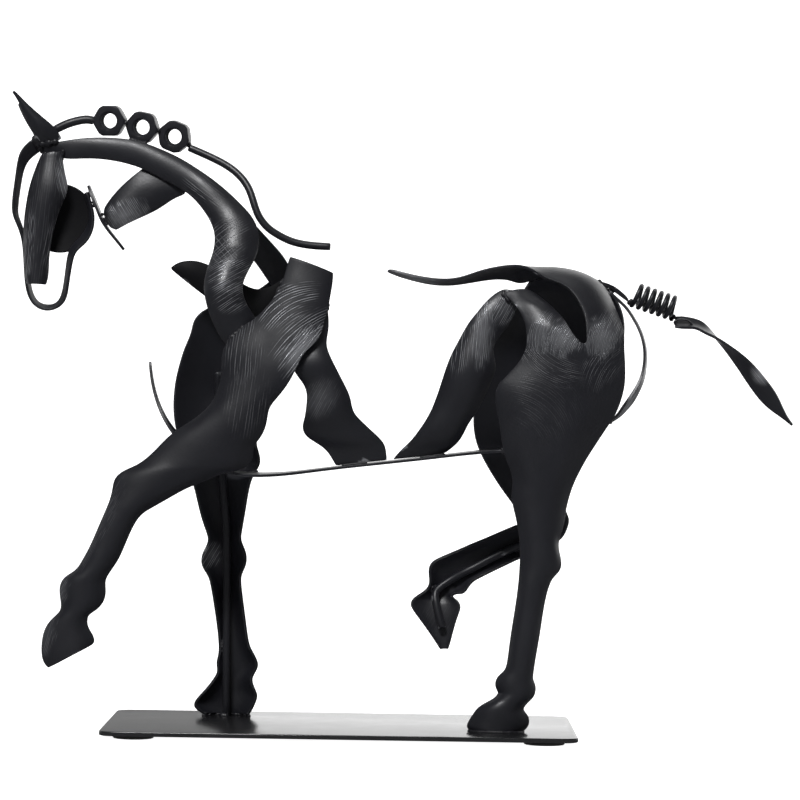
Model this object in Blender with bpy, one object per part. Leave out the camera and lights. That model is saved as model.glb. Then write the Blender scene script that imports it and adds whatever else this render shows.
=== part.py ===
"""Metal horse sculpture: a prancing horse of cut, bent and welded sheet steel on a flat base plate.

The horse faces -X with its tail towards +X and stands on the XY plane. The near side is -Y. Each
sheet is drawn as rows across it, each row from one cut edge to the other in the side view, and the
rows are bent in depth, so that a leg is a half pipe and a hip is a bowl.
"""
import math

import bmesh
import bpy
from mathutils import Vector
from mathutils.bvhtree import BVHTree

MM = 0.001

# Stock
SHEET = 0.9 * MM
GAP = 0.3 * MM
LEG_ROD = 2.6 * MM
MANE_ROD = 2.3 * MM
SPRING_WIRE = 1.3 * MM

# Base plate and its rubber pads
PLATE_LENGTH = 152 * MM
PLATE_DEPTH = 80 * MM
PLATE_THICKNESS = 1.5 * MM
PLATE_CORNER = 5 * MM
PLATE_CENTRE_X = -18.7 * MM
PAD_DIAMETER = 13 * MM
PAD_HEIGHT = 0.9 * MM
PAD_INSET_X = 10.6 * MM
PAD_INSET_Y = 9 * MM

# Mane nuts
NUT_FLATS = 9.8 * MM
NUT_CORNERS = 10.6 * MM
NUT_BORE = 5.3 * MM
NUT_THICKNESS = 5 * MM

# Tail spring
SPRING_DIAMETER = 8 * MM
SPRING_PITCH = 2.3 * MM
SPRING_TURNS = 6

# Cheek disc
DISC_DIAMETER = 23 * MM
DISC_DISH = 1.2 * MM

PLATE_TOP = PAD_HEIGHT + GAP + PLATE_THICKNESS
FULL_TUCK_CROWN = 3.5 * MM  # a crown from which the edges are turned right back
LAP_ROOM = SHEET + 1.8 * GAP  # between the middles of two sheets that lie on each other
EDGE_ROOM = 0.7 * SHEET + GAP  # between a sheet's edge and the middle of the sheet that it is welded to
SOLE = 0.6  # where a sole's row is drawn over the plate, mm, before it is cut level

NEAR = Vector((0, -1, 0.5))
FAR = Vector((0, 1, 0.5))


def spot(x, y, z):
    """A point of the horse from millimetres, with z counted from the plate's top."""
    return Vector((x * MM, y * MM, z * MM + PLATE_TOP))


def paint(obj, name, colour, roughness, metallic):
    """Gives an object its own material."""
    material = bpy.data.materials.new(name)
    material.use_nodes = True
    shader = material.node_tree.nodes["Principled BSDF"]
    shader.inputs["Base Color"].default_value = (*colour, 1)
    shader.inputs["Roughness"].default_value = roughness
    shader.inputs["Metallic"].default_value = metallic
    material.diffuse_color = (*colour, 1)
    obj.data.materials.append(material)


def paint_steel(obj):
    """The satin black paint of the steel."""
    paint(obj, obj.name + "_paint", (0.035, 0.036, 0.042), 0.35, 0.6)


def add_object(name, bm):
    """Turns a bmesh into an object of the scene."""
    mesh = bpy.data.meshes.new(name)
    bmesh.ops.recalc_face_normals(bm, faces=bm.faces)
    bm.to_mesh(mesh)
    bm.free()
    mesh.shade_smooth()
    mesh.set_sharp_from_angle(angle=math.radians(40))
    obj = bpy.data.objects.new(name, mesh)
    bpy.context.scene.collection.objects.link(obj)
    return obj


def between(stops, row):
    """The depth values at a row, eased between the stops (row, value, value, ...)."""
    for low, high in zip(stops, stops[1:]):
        if row <= high[0]:
            share = (row - low[0]) / (high[0] - low[0])
            share = share * share * (3 - 2 * share)
            return [a + (b - a) * share for a, b in zip(low[1:], high[1:])]
    return list(stops[-1][1:])


def bent_rows(outline, bends, shares, out, power=3.0):
    """Rows of points across a sheet.

    outline: (x, z, x, z) of each row's two ends. bends: (row, depth, depth, crown) at some rows.
    shares: where the points of a row lie between its ends. out: the side that the crown is on.
    A crowned row is drawn in by half the sheet's thickness, because its turned-back edges show
    their thickness in the side view.
    """
    ends = []
    for row, (xa, za, xb, zb) in enumerate(outline):
        ya, yb, crown = between(bends, row)
        ends.append((spot(xa, ya, za), spot(xb, yb, zb), crown * MM))
    rows = []
    for row, (a, b, crown) in enumerate(ends):
        before = ends[max(row - 1, 0)]
        after = ends[min(row + 1, len(ends) - 1)]
        along = (after[0] + after[1]) - (before[0] + before[1])
        normal = (b - a).cross(along).normalized()
        if normal.dot(out) < 0:
            normal = -normal
        tuck = min(SHEET / 2 * min(crown / FULL_TUCK_CROWN, 1), (b - a).length / 5)
        inward = (b - a).normalized() * tuck
        a, b = a + inward, b - inward
        rows.append([a.lerp(b, t) + normal * crown * (1 - abs(2 * t - 1) ** power) for t in shares])
    return rows


def even(columns):
    """Even shares across a row of so many faces."""
    return [i / columns for i in range(columns + 1)]


def rolled(columns):
    """Shares that crowd towards both ends, for edges that are turned back."""
    widest = math.cos(math.pi * 0.15)
    return [0.5 - 0.5 * math.cos(math.pi * (0.15 + 0.7 * t)) / widest for t in even(columns)]


def skin(bm, rows, first=None):
    """Faces over rows of points. first: vertices that stand for the first row."""
    lines = [first or [bm.verts.new(p) for p in rows[0]]]
    for row in rows[1:]:
        lines.append([bm.verts.new(p) for p in row])
    for low, high in zip(lines, lines[1:]):
        for j in range(len(low) - 1):
            bm.faces.new((low[j], low[j + 1], high[j + 1], high[j]))
    return lines


def add_sheet(name, bm):
    """A sheet of steel from its middle surface."""
    obj = add_object(name, bm)
    solid = obj.modifiers.new("Sheet", "SOLIDIFY")
    solid.thickness = SHEET
    solid.offset = 0
    solid.use_even_offset = True
    paint_steel(obj)
    return obj


def loft(name, *rows):
    """A sheet over one run of rows."""
    bm = bmesh.new()
    skin(bm, *rows)
    return add_sheet(name, bm)


def surface(rows):
    """The middle surface of a sheet, to be met by rays."""
    points = [p for row in rows for p in row]
    width = len(rows[0])
    faces = [(i * width + j, i * width + j + 1, (i + 1) * width + j + 1, (i + 1) * width + j)
             for i in range(len(rows) - 1) for j in range(width - 1)]
    return BVHTree.FromPolygons(points, faces)


def facing(target, x, z, side):
    """Where a line through (x, z) along Y meets a surface, and how far a sheet clears it there."""
    hit, normal, _, _ = target.ray_cast(Vector((x, side * 0.2, z)), Vector((0, -side, 0)))
    if hit is None:
        return None
    return hit.y, 1 / max(abs(normal.y), 0.5)


def spread(rows, i):
    """Points all over a sheet between one row and the next."""
    lines = [[a.lerp(b, t) for a, b in zip(rows[i], rows[i + 1])] for t in (0, 0.33, 0.67)]
    return [a.lerp(b, t) for line in lines for a, b in zip(line, line[1:]) for t in (0, 0.25, 0.5, 0.75, 1)]


def shift_rows(rows, side, steps, eased):
    """Moves the first rows in depth, each by its step, and the next ones by less and less."""
    for i, row in enumerate(rows[:len(steps) + eased]):
        share = 1.0 if i < len(steps) else 1 - (i - len(steps) + 1) / (eased + 1)
        for p in row:
            p.y += side * share * steps[min(i, len(steps) - 1)]


def lap(rows, target, side, fixed, eased, room=LAP_ROOM):
    """Lays the end rows of a sheet on another sheet's side.

    fixed rows lie on it wholly, and the next eased rows come to it step by step.
    """
    steps = []
    for i in range(fixed):
        samples = spread(rows, i)
        met = [(facing(target, p.x, p.z, side), p) for p in samples]
        known = [side * (hit[0] - p.y) + room * hit[1] for hit, p in met if hit]
        steps.append(max(known) if known else None)
    known = [step for step in steps if step is not None]
    steps = [known[0] if step is None else step for step in steps]
    steps = [max(steps[max(i - 1, 0):i + 2]) for i in range(fixed)]
    shift_rows(rows, side, steps, eased)
    for _ in range(4):
        off = min(target.find_nearest(p)[3] for i in range(fixed + 1) for p in spread(rows, i))
        shift_rows(rows, -side, [off - SHEET - GAP] * fixed, eased)


def meet(points, target, room=EDGE_ROOM):
    """Draws the points of an edge to another sheet, up to the clearance."""
    for p in points:
        hit, _, _, _ = target.find_nearest(p)
        p.xyz = hit + (p - hit).normalized() * room


def stand(rows):
    """Cuts a hoof level, just clear of the base plate."""
    for p in rows[-1]:
        p.z = PLATE_TOP + GAP + SHEET * 0.3


def add_rod(name, points, diameter, sides=2):
    """A round rod along points, cut square at both ends."""
    curve = bpy.data.curves.new(name, "CURVE")
    curve.dimensions = "3D"
    curve.bevel_depth = diameter / 2
    curve.bevel_resolution = sides
    curve.use_fill_caps = True
    spline = curve.splines.new("POLY")
    spline.points.add(len(points) - 1)
    for target, point in zip(spline.points, points):
        target.co = (*point, 1)
    obj = bpy.data.objects.new(name, curve)
    bpy.context.scene.collection.objects.link(obj)
    paint_steel(obj)
    return obj


def smooth(points, steps):
    """A smooth run through points, with so many steps between two of them."""
    run = []
    ends = [2 * points[0] - points[1], *points, 2 * points[-1] - points[-2]]
    for a, b, c, d in zip(ends, ends[1:], ends[2:], ends[3:]):
        for i in range(steps):
            t = i / steps
            run.append(0.5 * (2 * b + (c - a) * t + (2 * a - 5 * b + 4 * c - d) * t ** 2
                              + (3 * b - a - 3 * c + d) * t ** 3))
    run.append(points[-1].copy())
    return run


# Near foreleg: shoulder blade, raised forearm and hoof, from the blade's top edge down to the sole
NEAR_FORELEG = (
    (-37.2, 151.8, -23.1, 146.7), (-38.4, 147.9, -23.1, 143.6), (-39.4, 143.3, -23.9, 138.8),
    (-41.2, 139.8, -24.4, 134.8), (-43.8, 136.1, -25.8, 130.8), (-47.4, 131.9, -26.2, 127.1),
    (-52.5, 128.3, -28.0, 124.1), (-57.4, 123.5, -31.2, 121.5), (-58.7, 119.3, -33.2, 118.1),
    (-58.5, 114.8, -34.5, 114.5), (-59.0, 110.5, -37.0, 109.9), (-60.2, 106.5, -40.3, 105.9),
    (-62.4, 102.9, -42.7, 103.1), (-66.0, 99.5, -43.0, 99.3), (-70.2, 96.8, -43.8, 95.9),
    (-74.0, 94.3, -45.2, 93.3), (-77.0, 91.5, -47.1, 91.2), (-79.8, 88.3, -47.5, 88.4),
    (-82.6, 85.7, -47.8, 85.6), (-85.2, 83.7, -50.4, 83.2), (-88.3, 82.4, -54.4, 82.6),
    (-91.0, 81.0, -58.6, 81.6), (-92.7, 79.0, -63.2, 79.0), (-93.0, 76.1, -68.4, 77.3),
    (-93.6, 72.9, -74.4, 73.6), (-94.8, 69.6, -80.0, 70.4), (-96.3, 65.9, -83.2, 68.6),
    (-98.0, 61.7, -85.7, 64.9), (-99.8, 57.4, -88.0, 59.1), (-101.8, 53.7, -90.1, 53.8),
    (-103.6, 50.4, -92.2, 50.8), (-105.4, 48.9, -94.0, 48.0), (-107.8, 47.6, -94.5, 46.1),
    (-109.3, 45.5, -94.2, 43.9), (-109.5, 42.9, -94.3, 41.2), (-109.0, 40.3, -95.4, 38.9),
    (-108.7, 38.1, -97.4, 37.1), (-109.2, 36.1, -99.6, 35.9), (-111.6, 34.1, -100.0, 34.1),
    (-113.6, 31.7, -99.9, 32.3), (-114.6, 28.7, -99.0, 30.5), (-115.0, 25.3, -97.9, 28.9),
    (-114.9, 22.1, -97.5, 27.8), (-114.2, 19.8, -97.7, 27.0), (-112.7, 18.3, -98.3, 26.4),
)
NEAR_FORELEG_BENDS = (
    (0, -14, -14, 1.4), (3, -16.5, -16.5, 1.8), (6, -18, -21, 2.2), (9, -18.5, -23.5, 2.6),
    (13, -19.5, -22, 3.8),
    (18, -20, -20.5, 4), (22, -20.5, -20.5, 3.6), (26, -21, -21, 3.4), (33, -20.5, -20.5, 4.2),
    (37, -21, -21, 3.4), (44, -20, -20.5, 4.6),
)

# Far foreleg: shoulder blade, standing leg and hoof
FAR_FORELEG = (
    (-41.0, 148.3, -26.0, 145.3), (-45.0, 144.3, -25.5, 140.3), (-50.0, 140.8, -25.8, 135.3),
    (-58.0, 137.8, -27.0, 130.3), (-66.8, 135.6, -28.5, 125.8), (-70.6, 131.5, -31.0, 121.8),
    (-70.7, 127.6, -34.5, 117.8), (-73.2, 122.3, -37.5, 113.3), (-74.6, 117.3, -40.0, 108.8),
    (-75.8, 112.3, -43.0, 104.8), (-76.4, 107.3, -45.3, 100.8), (-76.5, 102.3, -46.6, 97.3),
    (-76.1, 98.1, -47.0, 94.1), (-75.2, 93.8, -48.4, 91.5), (-73.8, 89.3, -47.6, 88.8),
    (-72.2, 84.8, -46.7, 85.8), (-70.8, 80.8, -46.9, 83.5), (-69.5, 77.0, -49.6, 79.8),
    (-68.4, 73.0, -50.7, 74.3), (-67.2, 67.9, -51.5, 68.8), (-65.8, 63.5, -52.3, 63.7),
    (-64.6, 60.6, -52.9, 60.3), (-64.1, 58.5, -52.9, 58.6), (-64.8, 56.3, -52.1, 56.7),
    (-66.2, 53.8, -51.1, 54.5), (-66.5, 51.1, -50.8, 52.3), (-65.8, 49.1, -51.2, 50.0),
    (-64.2, 46.9, -52.6, 47.3), (-63.4, 45.1, -52.8, 44.8), (-62.0, 37.6, -51.9, 38.3),
    (-60.8, 30.3, -50.7, 30.3), (-60.0, 23.3, -49.8, 23.9), (-60.2, 20.1, -48.4, 21.5),
    (-60.9, 17.9, -47.0, 19.1), (-60.6, 15.9, -46.3, 16.9), (-60.5, 14.3, -47.6, 14.5),
    (-61.6, 12.3, -48.8, 12.3), (-64.2, 8.8, -47.4, 9.1), (-67.4, 5.5, -46.4, 7.1),
    (-68.3, 3.7, -47.0, 5.1), (-67.6, 2.3, -48.0, 2.7), (-64.5, SOLE, -49.3, SOLE),
)
FAR_FORELEG_BENDS = (
    (0, 14, 14, 2), (5, 18, 18, 4.5), (10, 19, 19, 6), (16, 20, 20, 5), (22, 21, 21, 4),
    (25, 20.5, 20.5, 5), (28, 21, 21, 4), (34, 21, 21, 4), (38, 20, 20.5, 5), (41, 20, 20.5, 5),
)

# Near hindleg from the foot of the slot down to the sole
NEAR_HINDLEG = (
    (39.3, 125.4, 71.2, 124.8), (38.7, 122.6, 71.6, 120.7), (37.4, 119.7, 71.8, 116.8),
    (35.2, 116.9, 71.8, 112.8), (32.8, 114.3, 71.2, 109.3), (30.4, 111.9, 70.2, 105.8),
    (29.2, 108.9, 68.8, 102.3), (29.6, 105.3, 66.8, 99.3), (30.4, 101.8, 64.8, 96.3),
    (31.1, 97.8, 62.6, 92.8), (31.7, 93.8, 60.3, 89.3), (32.4, 90.1, 58.0, 85.1),
    (33.6, 86.9, 56.2, 81.5), (35.1, 83.7, 54.8, 77.9), (35.6, 80.3, 53.8, 74.3),
    (35.1, 76.9, 53.1, 71.1), (35.5, 73.3, 52.8, 68.1), (36.4, 70.3, 52.1, 64.6),
    (37.2, 66.7, 50.8, 61.5), (37.9, 63.1, 51.0, 58.3), (38.2, 59.3, 51.8, 55.7),
    (38.2, 55.8, 52.0, 53.5), (38.1, 52.7, 51.2, 51.7), (38.0, 49.9, 49.2, 50.0),
    (37.8, 47.3, 48.1, 47.7), (37.4, 43.3, 46.9, 43.3), (36.6, 37.6, 46.0, 37.3),
    (35.8, 32.3, 45.3, 31.8), (35.2, 27.3, 44.5, 26.8), (34.8, 23.3, 43.8, 22.3),
    (34.2, 19.9, 43.3, 18.3), (32.4, 18.6, 43.4, 16.9), (31.0, 16.9, 44.1, 15.5),
    (30.8, 14.7, 44.4, 13.9), (32.0, 12.6, 43.9, 11.6), (30.8, 10.7, 42.0, 9.9),
    (28.0, 9.3, 40.6, 8.3), (25.4, 7.8, 40.5, 6.9), (23.8, 5.5, 42.0, 5.6),
    (22.4, 3.1, 42.5, 3.7), (21.8, 1.6, 42.1, 1.9), (22.8, SOLE, 40.6, SOLE),
)
NEAR_HINDLEG_BENDS = (
    (0, -22, -16, 4), (4, -21.5, -16, 5.2), (8, -20.5, -16.5, 5.8), (12, -20, -17.5, 5),
    (16, -20.5, -18, 4.2), (20, -21, -20, 3.6), (24, -21, -21, 3.4), (30, -21, -21, 3.4),
    (33, -20.5, -20.5, 4), (36, -21, -21, 3.8), (41, -20, -20, 4.8),
)
HIP_SHARES = (0, 0.17, 0.345, 0.52, 0.595, 0.73, 0.865, 1)
TONGUE_COLUMNS = 3

# The hip's front tongue, from the foot of the slot up
HIP_TONGUE = (
    (39.1, 130.0, 53.9, 128.5), (38.4, 132.5, 52.0, 131.9), (37.2, 135.1, 49.9, 134.4),
    (35.4, 137.5, 47.2, 137.0), (33.4, 139.4, 44.3, 139.5), (31.6, 140.9, 40.6, 142.2),
)
HIP_TONGUE_BENDS = ((0, -21.5, -23, 1.6), (2, -19.5, -20, 1.6), (5, -15, -14, 1.2))

# The topline strip, from the foot of the slot over the rump and along the back to its tip
TOPLINE = (
    (58.5, 128.0, 71.2, 128.2), (58.4, 131.5, 70.4, 131.0), (57.8, 134.5, 69.4, 134.0),
    (56.6, 137.5, 68.2, 137.0), (55.0, 140.2, 67.0, 140.2), (52.8, 142.8, 65.4, 143.4),
    (50.2, 144.4, 62.8, 146.4), (47.8, 145.2, 57.6, 148.4), (45.3, 146.1, 51.6, 149.0),
    (43.6, 147.2, 47.0, 148.4), (41.3, 148.9, 43.5, 147.0), (38.6, 150.0, 40.3, 145.6),
    (35.8, 150.4, 37.4, 144.9), (32.6, 150.1, 34.4, 146.3), (28.6, 149.4, 30.2, 146.5),
    (24.0, 148.2, 25.4, 145.8), (19.5, 146.4, 20.3, 144.8), (15.0, 145.4, 15.4, 144.0),
    (10.0, 145.5, 10.2, 144.0), (5.0, 146.2, 5.2, 144.8), (0.3, 147.2, 0.4, 146.0),
    (-3.2, 148.2, -2.9, 147.0), (-5.7, 148.5, -5.5, 148.1),
)
TOPLINE_BENDS = (
    (0, -23, -15, 1.5), (2, -21, -12.5, 1.8), (4, -18, -8, 2.2), (6, -15, -3, 2.5),
    (8, -13, 2, 2.4), (10, -11, 4, 2), (13, -7, 4, 1), (17, -4.5, 1.5, 0.4), (20, -3.2, 0.6, 0.2),
    (22, -1.6, 0, 0.1),
)

# Far hindleg: hip, thigh, the raised leg that turns at the hock, and the hanging hoof
FAR_HINDLEG = (
    (41.5, 144.5, 63.4, 145.6), (38.7, 141.9, 66.8, 144.1), (36.5, 139.3, 69.4, 141.5),
    (34.0, 136.3, 71.4, 138.7), (31.6, 132.8, 72.8, 135.4), (29.6, 128.8, 73.5, 131.6),
    (28.0, 124.3, 73.3, 127.1), (26.6, 119.7, 72.7, 122.2), (25.4, 114.9, 72.0, 116.8),
    (24.3, 109.9, 71.2, 111.3), (23.5, 104.7, 69.8, 106.3), (23.2, 99.3, 67.8, 101.5),
    (23.7, 95.1, 65.5, 97.3), (24.6, 91.7, 63.0, 93.3), (26.3, 87.9, 60.6, 88.9),
    (28.6, 83.9, 58.6, 84.3), (31.2, 79.9, 57.0, 79.7), (33.6, 76.5, 55.8, 75.5),
    (36.0, 73.5, 54.8, 71.9), (38.2, 70.5, 55.2, 69.3), (39.8, 68.1, 56.2, 67.7),
    (40.4, 66.5, 56.2, 65.9), (39.9, 65.6, 55.4, 63.4), (38.6, 65.2, 54.1, 60.9),
    (36.8, 64.4, 51.8, 59.2), (34.6, 63.5, 48.6, 57.6), (31.5, 62.1, 44.4, 55.8),
    (27.5, 60.3, 39.5, 53.7), (23.5, 58.7, 34.8, 51.3), (19.5, 56.8, 30.4, 49.1),
    (15.8, 55.2, 27.0, 47.3), (12.7, 53.8, 24.9, 46.2), (10.6, 52.7, 23.4, 44.6),
    (9.5, 51.1, 22.5, 42.9), (9.4, 49.0, 21.3, 41.8), (9.7, 46.9, 19.7, 42.0),
    (9.7, 44.9, 18.2, 41.5), (8.6, 42.9, 17.9, 40.9), (5.6, 41.0, 18.9, 40.2),
    (4.0, 39.9, 20.0, 39.1), (3.4, 38.2, 20.6, 37.7), (4.2, 36.5, 20.2, 36.1),
    (7.4, 32.5, 19.0, 33.1), (10.7, 28.1, 17.9, 29.1), (12.9, 24.9, 17.0, 25.5),
    (13.9, 23.4, 16.3, 23.5),
)
FAR_HINDLEG_BENDS = (
    (0, 9, 1.6, 2), (1, 11, 6, 3), (2, 13, 9, 3.5), (4, 16, 13, 4.5), (6, 18, 15, 5.5),
    (9, 19, 16, 6.5), (12, 19.5, 17, 6.5), (15, 20, 19, 5), (18, 20.5, 20.5, 4), (21, 21, 21, 4),
    (30, 21, 21, 3.5), (34, 21, 21, 4.2), (37, 21.5, 21.5, 3),
    (40, 20.4, 20.4, 2.6), (43, 20.8, 20.8, 1.0), (45, 21, 21, 0.3),
)

# Near neck band: crest edge, then throat edge, from the poll down to the chest
NEAR_NECK = (
    (-118.6, 187.9, -117.8, 184.4), (-112.0, 188.9, -112.0, 182.9), (-107.2, 189.7, -107.1, 183.2),
    (-102.0, 190.1, -102.0, 183.4), (-96.3, 190.1, -96.4, 182.9), (-90.3, 189.7, -91.2, 181.9),
    (-84.8, 188.4, -86.0, 180.3), (-79.2, 186.2, -80.8, 177.8), (-73.4, 183.6, -75.5, 175.0),
    (-68.4, 180.5, -70.4, 172.1), (-63.3, 177.2, -66.9, 168.5), (-58.3, 173.3, -63.8, 164.2),
    (-53.2, 168.6, -61.9, 160.0), (-48.9, 164.1, -61.6, 156.6), (-47.3, 159.4, -62.0, 153.4),
    (-47.2, 155.4, -62.7, 151.0), (-47.9, 152.0, -63.6, 148.3), (-49.0, 149.7, -64.3, 145.6),
    (-50.7, 146.6, -64.9, 142.2), (-52.0, 143.4, -64.6, 139.4), (-52.2, 140.3, -64.0, 136.2),
    (-51.2, 137.2, -62.9, 132.6), (-49.6, 134.4, -61.4, 129.0), (-47.6, 131.9, -59.3, 125.4),
    (-48.4, 129.0, -57.0, 122.6),
)
NEAR_NECK_BENDS = (
    (0, -1.4, -1.4, 0.2), (4, -3, -3, 0.9), (8, -4.4, -5, 1.4), (11, -6.5, -8, 2), (14, -10, -12.5, 3),
    (17, -14, -15.5, 4), (20, -17.5, -18, 4.2), (24, -21, -21, 2.4),
)

# Far neck band: from behind the near band down to the far shoulder
FAR_NECK = (
    (-55.5, 168.6, -59.5, 160.6), (-50.4, 164.2, -55.0, 156.8), (-45.7, 159.2, -51.2, 153.0),
    (-42.0, 155.3, -48.2, 149.4), (-39.6, 152.6, -45.9, 145.9), (-37.6, 149.0, -43.3, 142.2),
    (-36.0, 145.8, -41.4, 139.0),
)
FAR_NECK_BENDS = ((0, -6, -8, 1), (3, 3, 3, 1), (6, 12, 13, 1))

# Breast strap: from its free fin tip behind the neck to the near shoulder's front edge
BREAST = (
    (-77.0, 148.6, -76.9, 148.1), (-75.0, 150.3, -74.6, 146.2), (-71.6, 151.1, -71.6, 143.8),
    (-67.8, 151.0, -67.6, 140.8), (-62.8, 149.0, -62.8, 137.4), (-57.8, 146.2, -57.6, 134.6),
    (-52.6, 143.3, -52.4, 132.2), (-48.0, 141.0, -47.4, 131.6), (-42.6, 142.2, -43.2, 134.0),
    (-39.4, 144.2, -40.0, 137.4),
)
BREAST_BENDS = ((0, 11, 11, 0), (2, 11, 11, 1), (6, 4, 5, 1.4), (9, -12, -12, 1))

# Throat strip: from inside the neck band to the throat blade
THROAT = (
    (-84.2, 181.8, -71.4, 175.0), (-86.4, 180.0, -72.0, 172.0), (-89.7, 177.4, -75.6, 170.7),
    (-93.0, 174.4, -78.8, 168.2), (-95.7, 171.4, -82.4, 166.1), (-97.9, 168.4, -86.7, 164.2),
    (-98.8, 166.6, -90.3, 162.6), (-98.1, 163.6, -92.8, 161.4), (-96.4, 161.3, -94.6, 160.4),
)
THROAT_BENDS = ((0, -3, -3, 0.5), (2, -3, -3, 1.5), (5, -2, -2, 2.5), (8, 0, 0, 0.5))

# Throat blade, edge on: (x, z, half width)
THROAT_BLADE = (
    (-103.8, 174.6, 2.4), (-102.9, 172.3, 4.0), (-101.7, 169.4, 4.8), (-100.4, 166.3, 5.0),
    (-99.0, 162.8, 4.8), (-96.7, 159.6, 4.0), (-94.2, 156.7, 2.8), (-91.9, 153.8, 1.2),
)

# Face plate, from the poll down to the nose
FACE = (
    (-118.8, 184.7, -112.3, 185.5), (-120.4, 181.1, -111.9, 181.3), (-122.2, 176.5, -110.8, 176.9),
    (-123.4, 171.9, -109.7, 173.3), (-124.1, 167.3, -111.8, 168.7), (-124.6, 162.7, -113.6, 163.9),
    (-124.7, 157.9, -114.9, 157.9), (-124.6, 153.3, -115.7, 153.3), (-124.3, 148.3, -115.9, 148.7),
    (-123.9, 144.3, -116.0, 144.5), (-123.2, 142.1, -116.8, 141.9),
)
FACE_BENDS = ((0, -3.1, -3.1, 1), (3, -3.1, -3.1, 3.6), (7, -3.1, -3.1, 3.4), (10, -3.1, -3.1, 2.8))

# Head outline bar, outer edge then inner edge, from the poll round the muzzle to the cheek
HEAD_BAR_HALF = 1.2
HEAD_BAR = (
    (-121.9, 189.8, -119.4, 186.0), (-126.0, 186.2, -123.5, 183.3), (-127.0, 182.2, -125.4, 179.8),
    (-127.6, 175.8, -126.2, 174.8), (-128.3, 170.8, -126.8, 170.4), (-128.5, 165.9, -127.2, 165.9),
    (-127.6, 163.2, -126.8, 163.8), (-125.2, 158.4, -124.6, 158.8), (-124.4, 152.6, -123.7, 152.8),
    (-124.0, 143.7, -122.9, 143.7), (-123.1, 138.7, -121.8, 138.8), (-121.0, 135.1, -120.0, 136.1),
    (-117.8, 133.6, -117.5, 135.2), (-114.8, 133.8, -114.9, 135.3), (-112.1, 135.2, -113.1, 136.4),
    (-110.4, 137.7, -111.9, 138.9), (-109.9, 141.9, -111.2, 143.0), (-108.9, 149.4, -110.6, 149.3),
    (-107.8, 153.4, -109.9, 154.1), (-104.0, 155.8, -106.0, 157.8), (-101.9, 160.4, -103.8, 161.1),
    (-101.8, 164.4, -103.2, 164.6), (-102.7, 168.6, -103.8, 168.4), (-104.2, 172.6, -105.1, 172.0),
)
HEAD_BAR_BENDS = ((0, -HEAD_BAR_HALF, HEAD_BAR_HALF, 0), (23, -HEAD_BAR_HALF, HEAD_BAR_HALF, 0))
DISC_CENTRE = (-113.2, 163.9)

# Ears: front edge, then back edge, from the poll up to the tip
NEAR_EAR = (
    (-120.6, 188.2, -112.7, 191.2), (-121.9, 190.9, -114.4, 193.1), (-122.9, 193.7, -117.2, 195.1),
    (-124.2, 196.7, -120.3, 197.5), (-125.8, 200.1, -123.9, 200.5), (-127.3, 202.9, -126.3, 203.0),
    (-128.5, 204.4, -127.9, 204.7),
)
NEAR_EAR_BENDS = ((0, -2.6, -2.6, 2.0), (3, -4.2, -4.2, 1.4), (5, -5.3, -5.3, 0.2), (6, -6, -6, 0))
FAR_EAR = (
    (-119.4, 188.4, -113.2, 190.8), (-122.6, 191.7, -116.2, 193.7), (-125.2, 195.7, -120.0, 196.7),
    (-126.9, 199.1, -124.0, 199.6), (-127.9, 201.4, -127.2, 201.7),
)
FAR_EAR_BENDS = ((0, 2.6, 2.6, 1.8), (2, 4.2, 4.2, 1.3), (4, 6, 6, 0))

# Ribs
FRONT_RIB = (
    (-33.0, 138.3, -25.4, 138.8), (-34.0, 133.3, -24.4, 134.3), (-35.0, 127.3, -24.0, 128.3),
    (-36.0, 121.3, -25.2, 123.9), (-36.3, 116.3, -23.5, 119.7), (-33.8, 112.9, -21.3, 115.7),
    (-31.6, 110.1, -19.3, 111.9), (-31.0, 106.7, -16.9, 107.6), (-31.4, 103.1, -16.3, 104.4),
    (-31.8, 99.9, -15.6, 101.6), (-32.8, 97.1, -12.4, 98.5), (-31.9, 94.3, -9.4, 95.8),
    (-28.6, 92.3, -6.9, 93.6), (-24.4, 90.0, -5.2, 91.4), (-21.4, 85.6, -4.8, 87.0),
)
FRONT_RIB_BENDS = ((0, -17, -17, 1), (4, -17, -17, 2), (8, -14, -14, 4), (11, -11, -11, 3), (14, -9, -9, 0.4))
REAR_RIB = (
    (31.9, 142.3, 38.3, 141.7), (29.2, 140.9, 37.2, 138.6), (26.2, 138.3, 35.8, 134.4),
    (23.3, 134.6, 33.6, 130.3), (20.9, 131.7, 31.2, 127.7), (19.2, 128.7, 29.2, 124.5),
    (17.2, 124.9, 29.0, 121.9), (15.2, 121.1, 30.0, 118.9), (13.8, 117.4, 30.0, 115.7),
    (12.5, 113.2, 28.6, 112.1), (11.4, 109.5, 27.0, 108.5), (10.3, 106.3, 25.6, 105.3),
    (9.2, 103.2, 23.6, 101.7), (7.3, 99.5, 21.6, 99.1), (4.8, 95.8, 20.2, 95.9),
    (2.4, 92.6, 18.4, 92.9), (0.0, 90.5, 15.6, 90.6), (-3.0, 87.0, 13.6, 88.5),
)
REAR_RIB_BENDS = (
    (0, -12, -12, 0.6), (3, -14, -13, 2), (8, -14, -14, 4), (13, -12, -12, 3.4), (17, -8.5, -8.5, 0.4),
)

# Belly strip, edge on: (x, z, greatest half width), from its tip at the chest to the thighs
BELLY = (
    (-82.8, 117.3, 0.8), (-82.3, 112.6, 1.6), (-81.1, 107.0, 2.6), (-79.1, 101.5, 4.0),
    (-76.2, 96.4, 6.5), (-72.2, 91.6, 11.5), (-66.5, 86.8, 24), (-60.2, 83.4, 24),
    (-54.0, 81.4, 24), (-47.5, 80.8, 20), (-38.0, 81.3, 14.0), (-27.8, 82.8, 11.5),
    (-16.4, 84.3, 10.5), (-7.0, 85.4, 10.5), (1.0, 86.4, 10.5), (8.5, 87.3, 11.0),
    (19.0, 88.8, 13.5), (27.0, 89.7, 17.0), (31.0, 90.1, 22), (34.5, 90.3, 24), (38.0, 90.3, 24),
)

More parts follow.
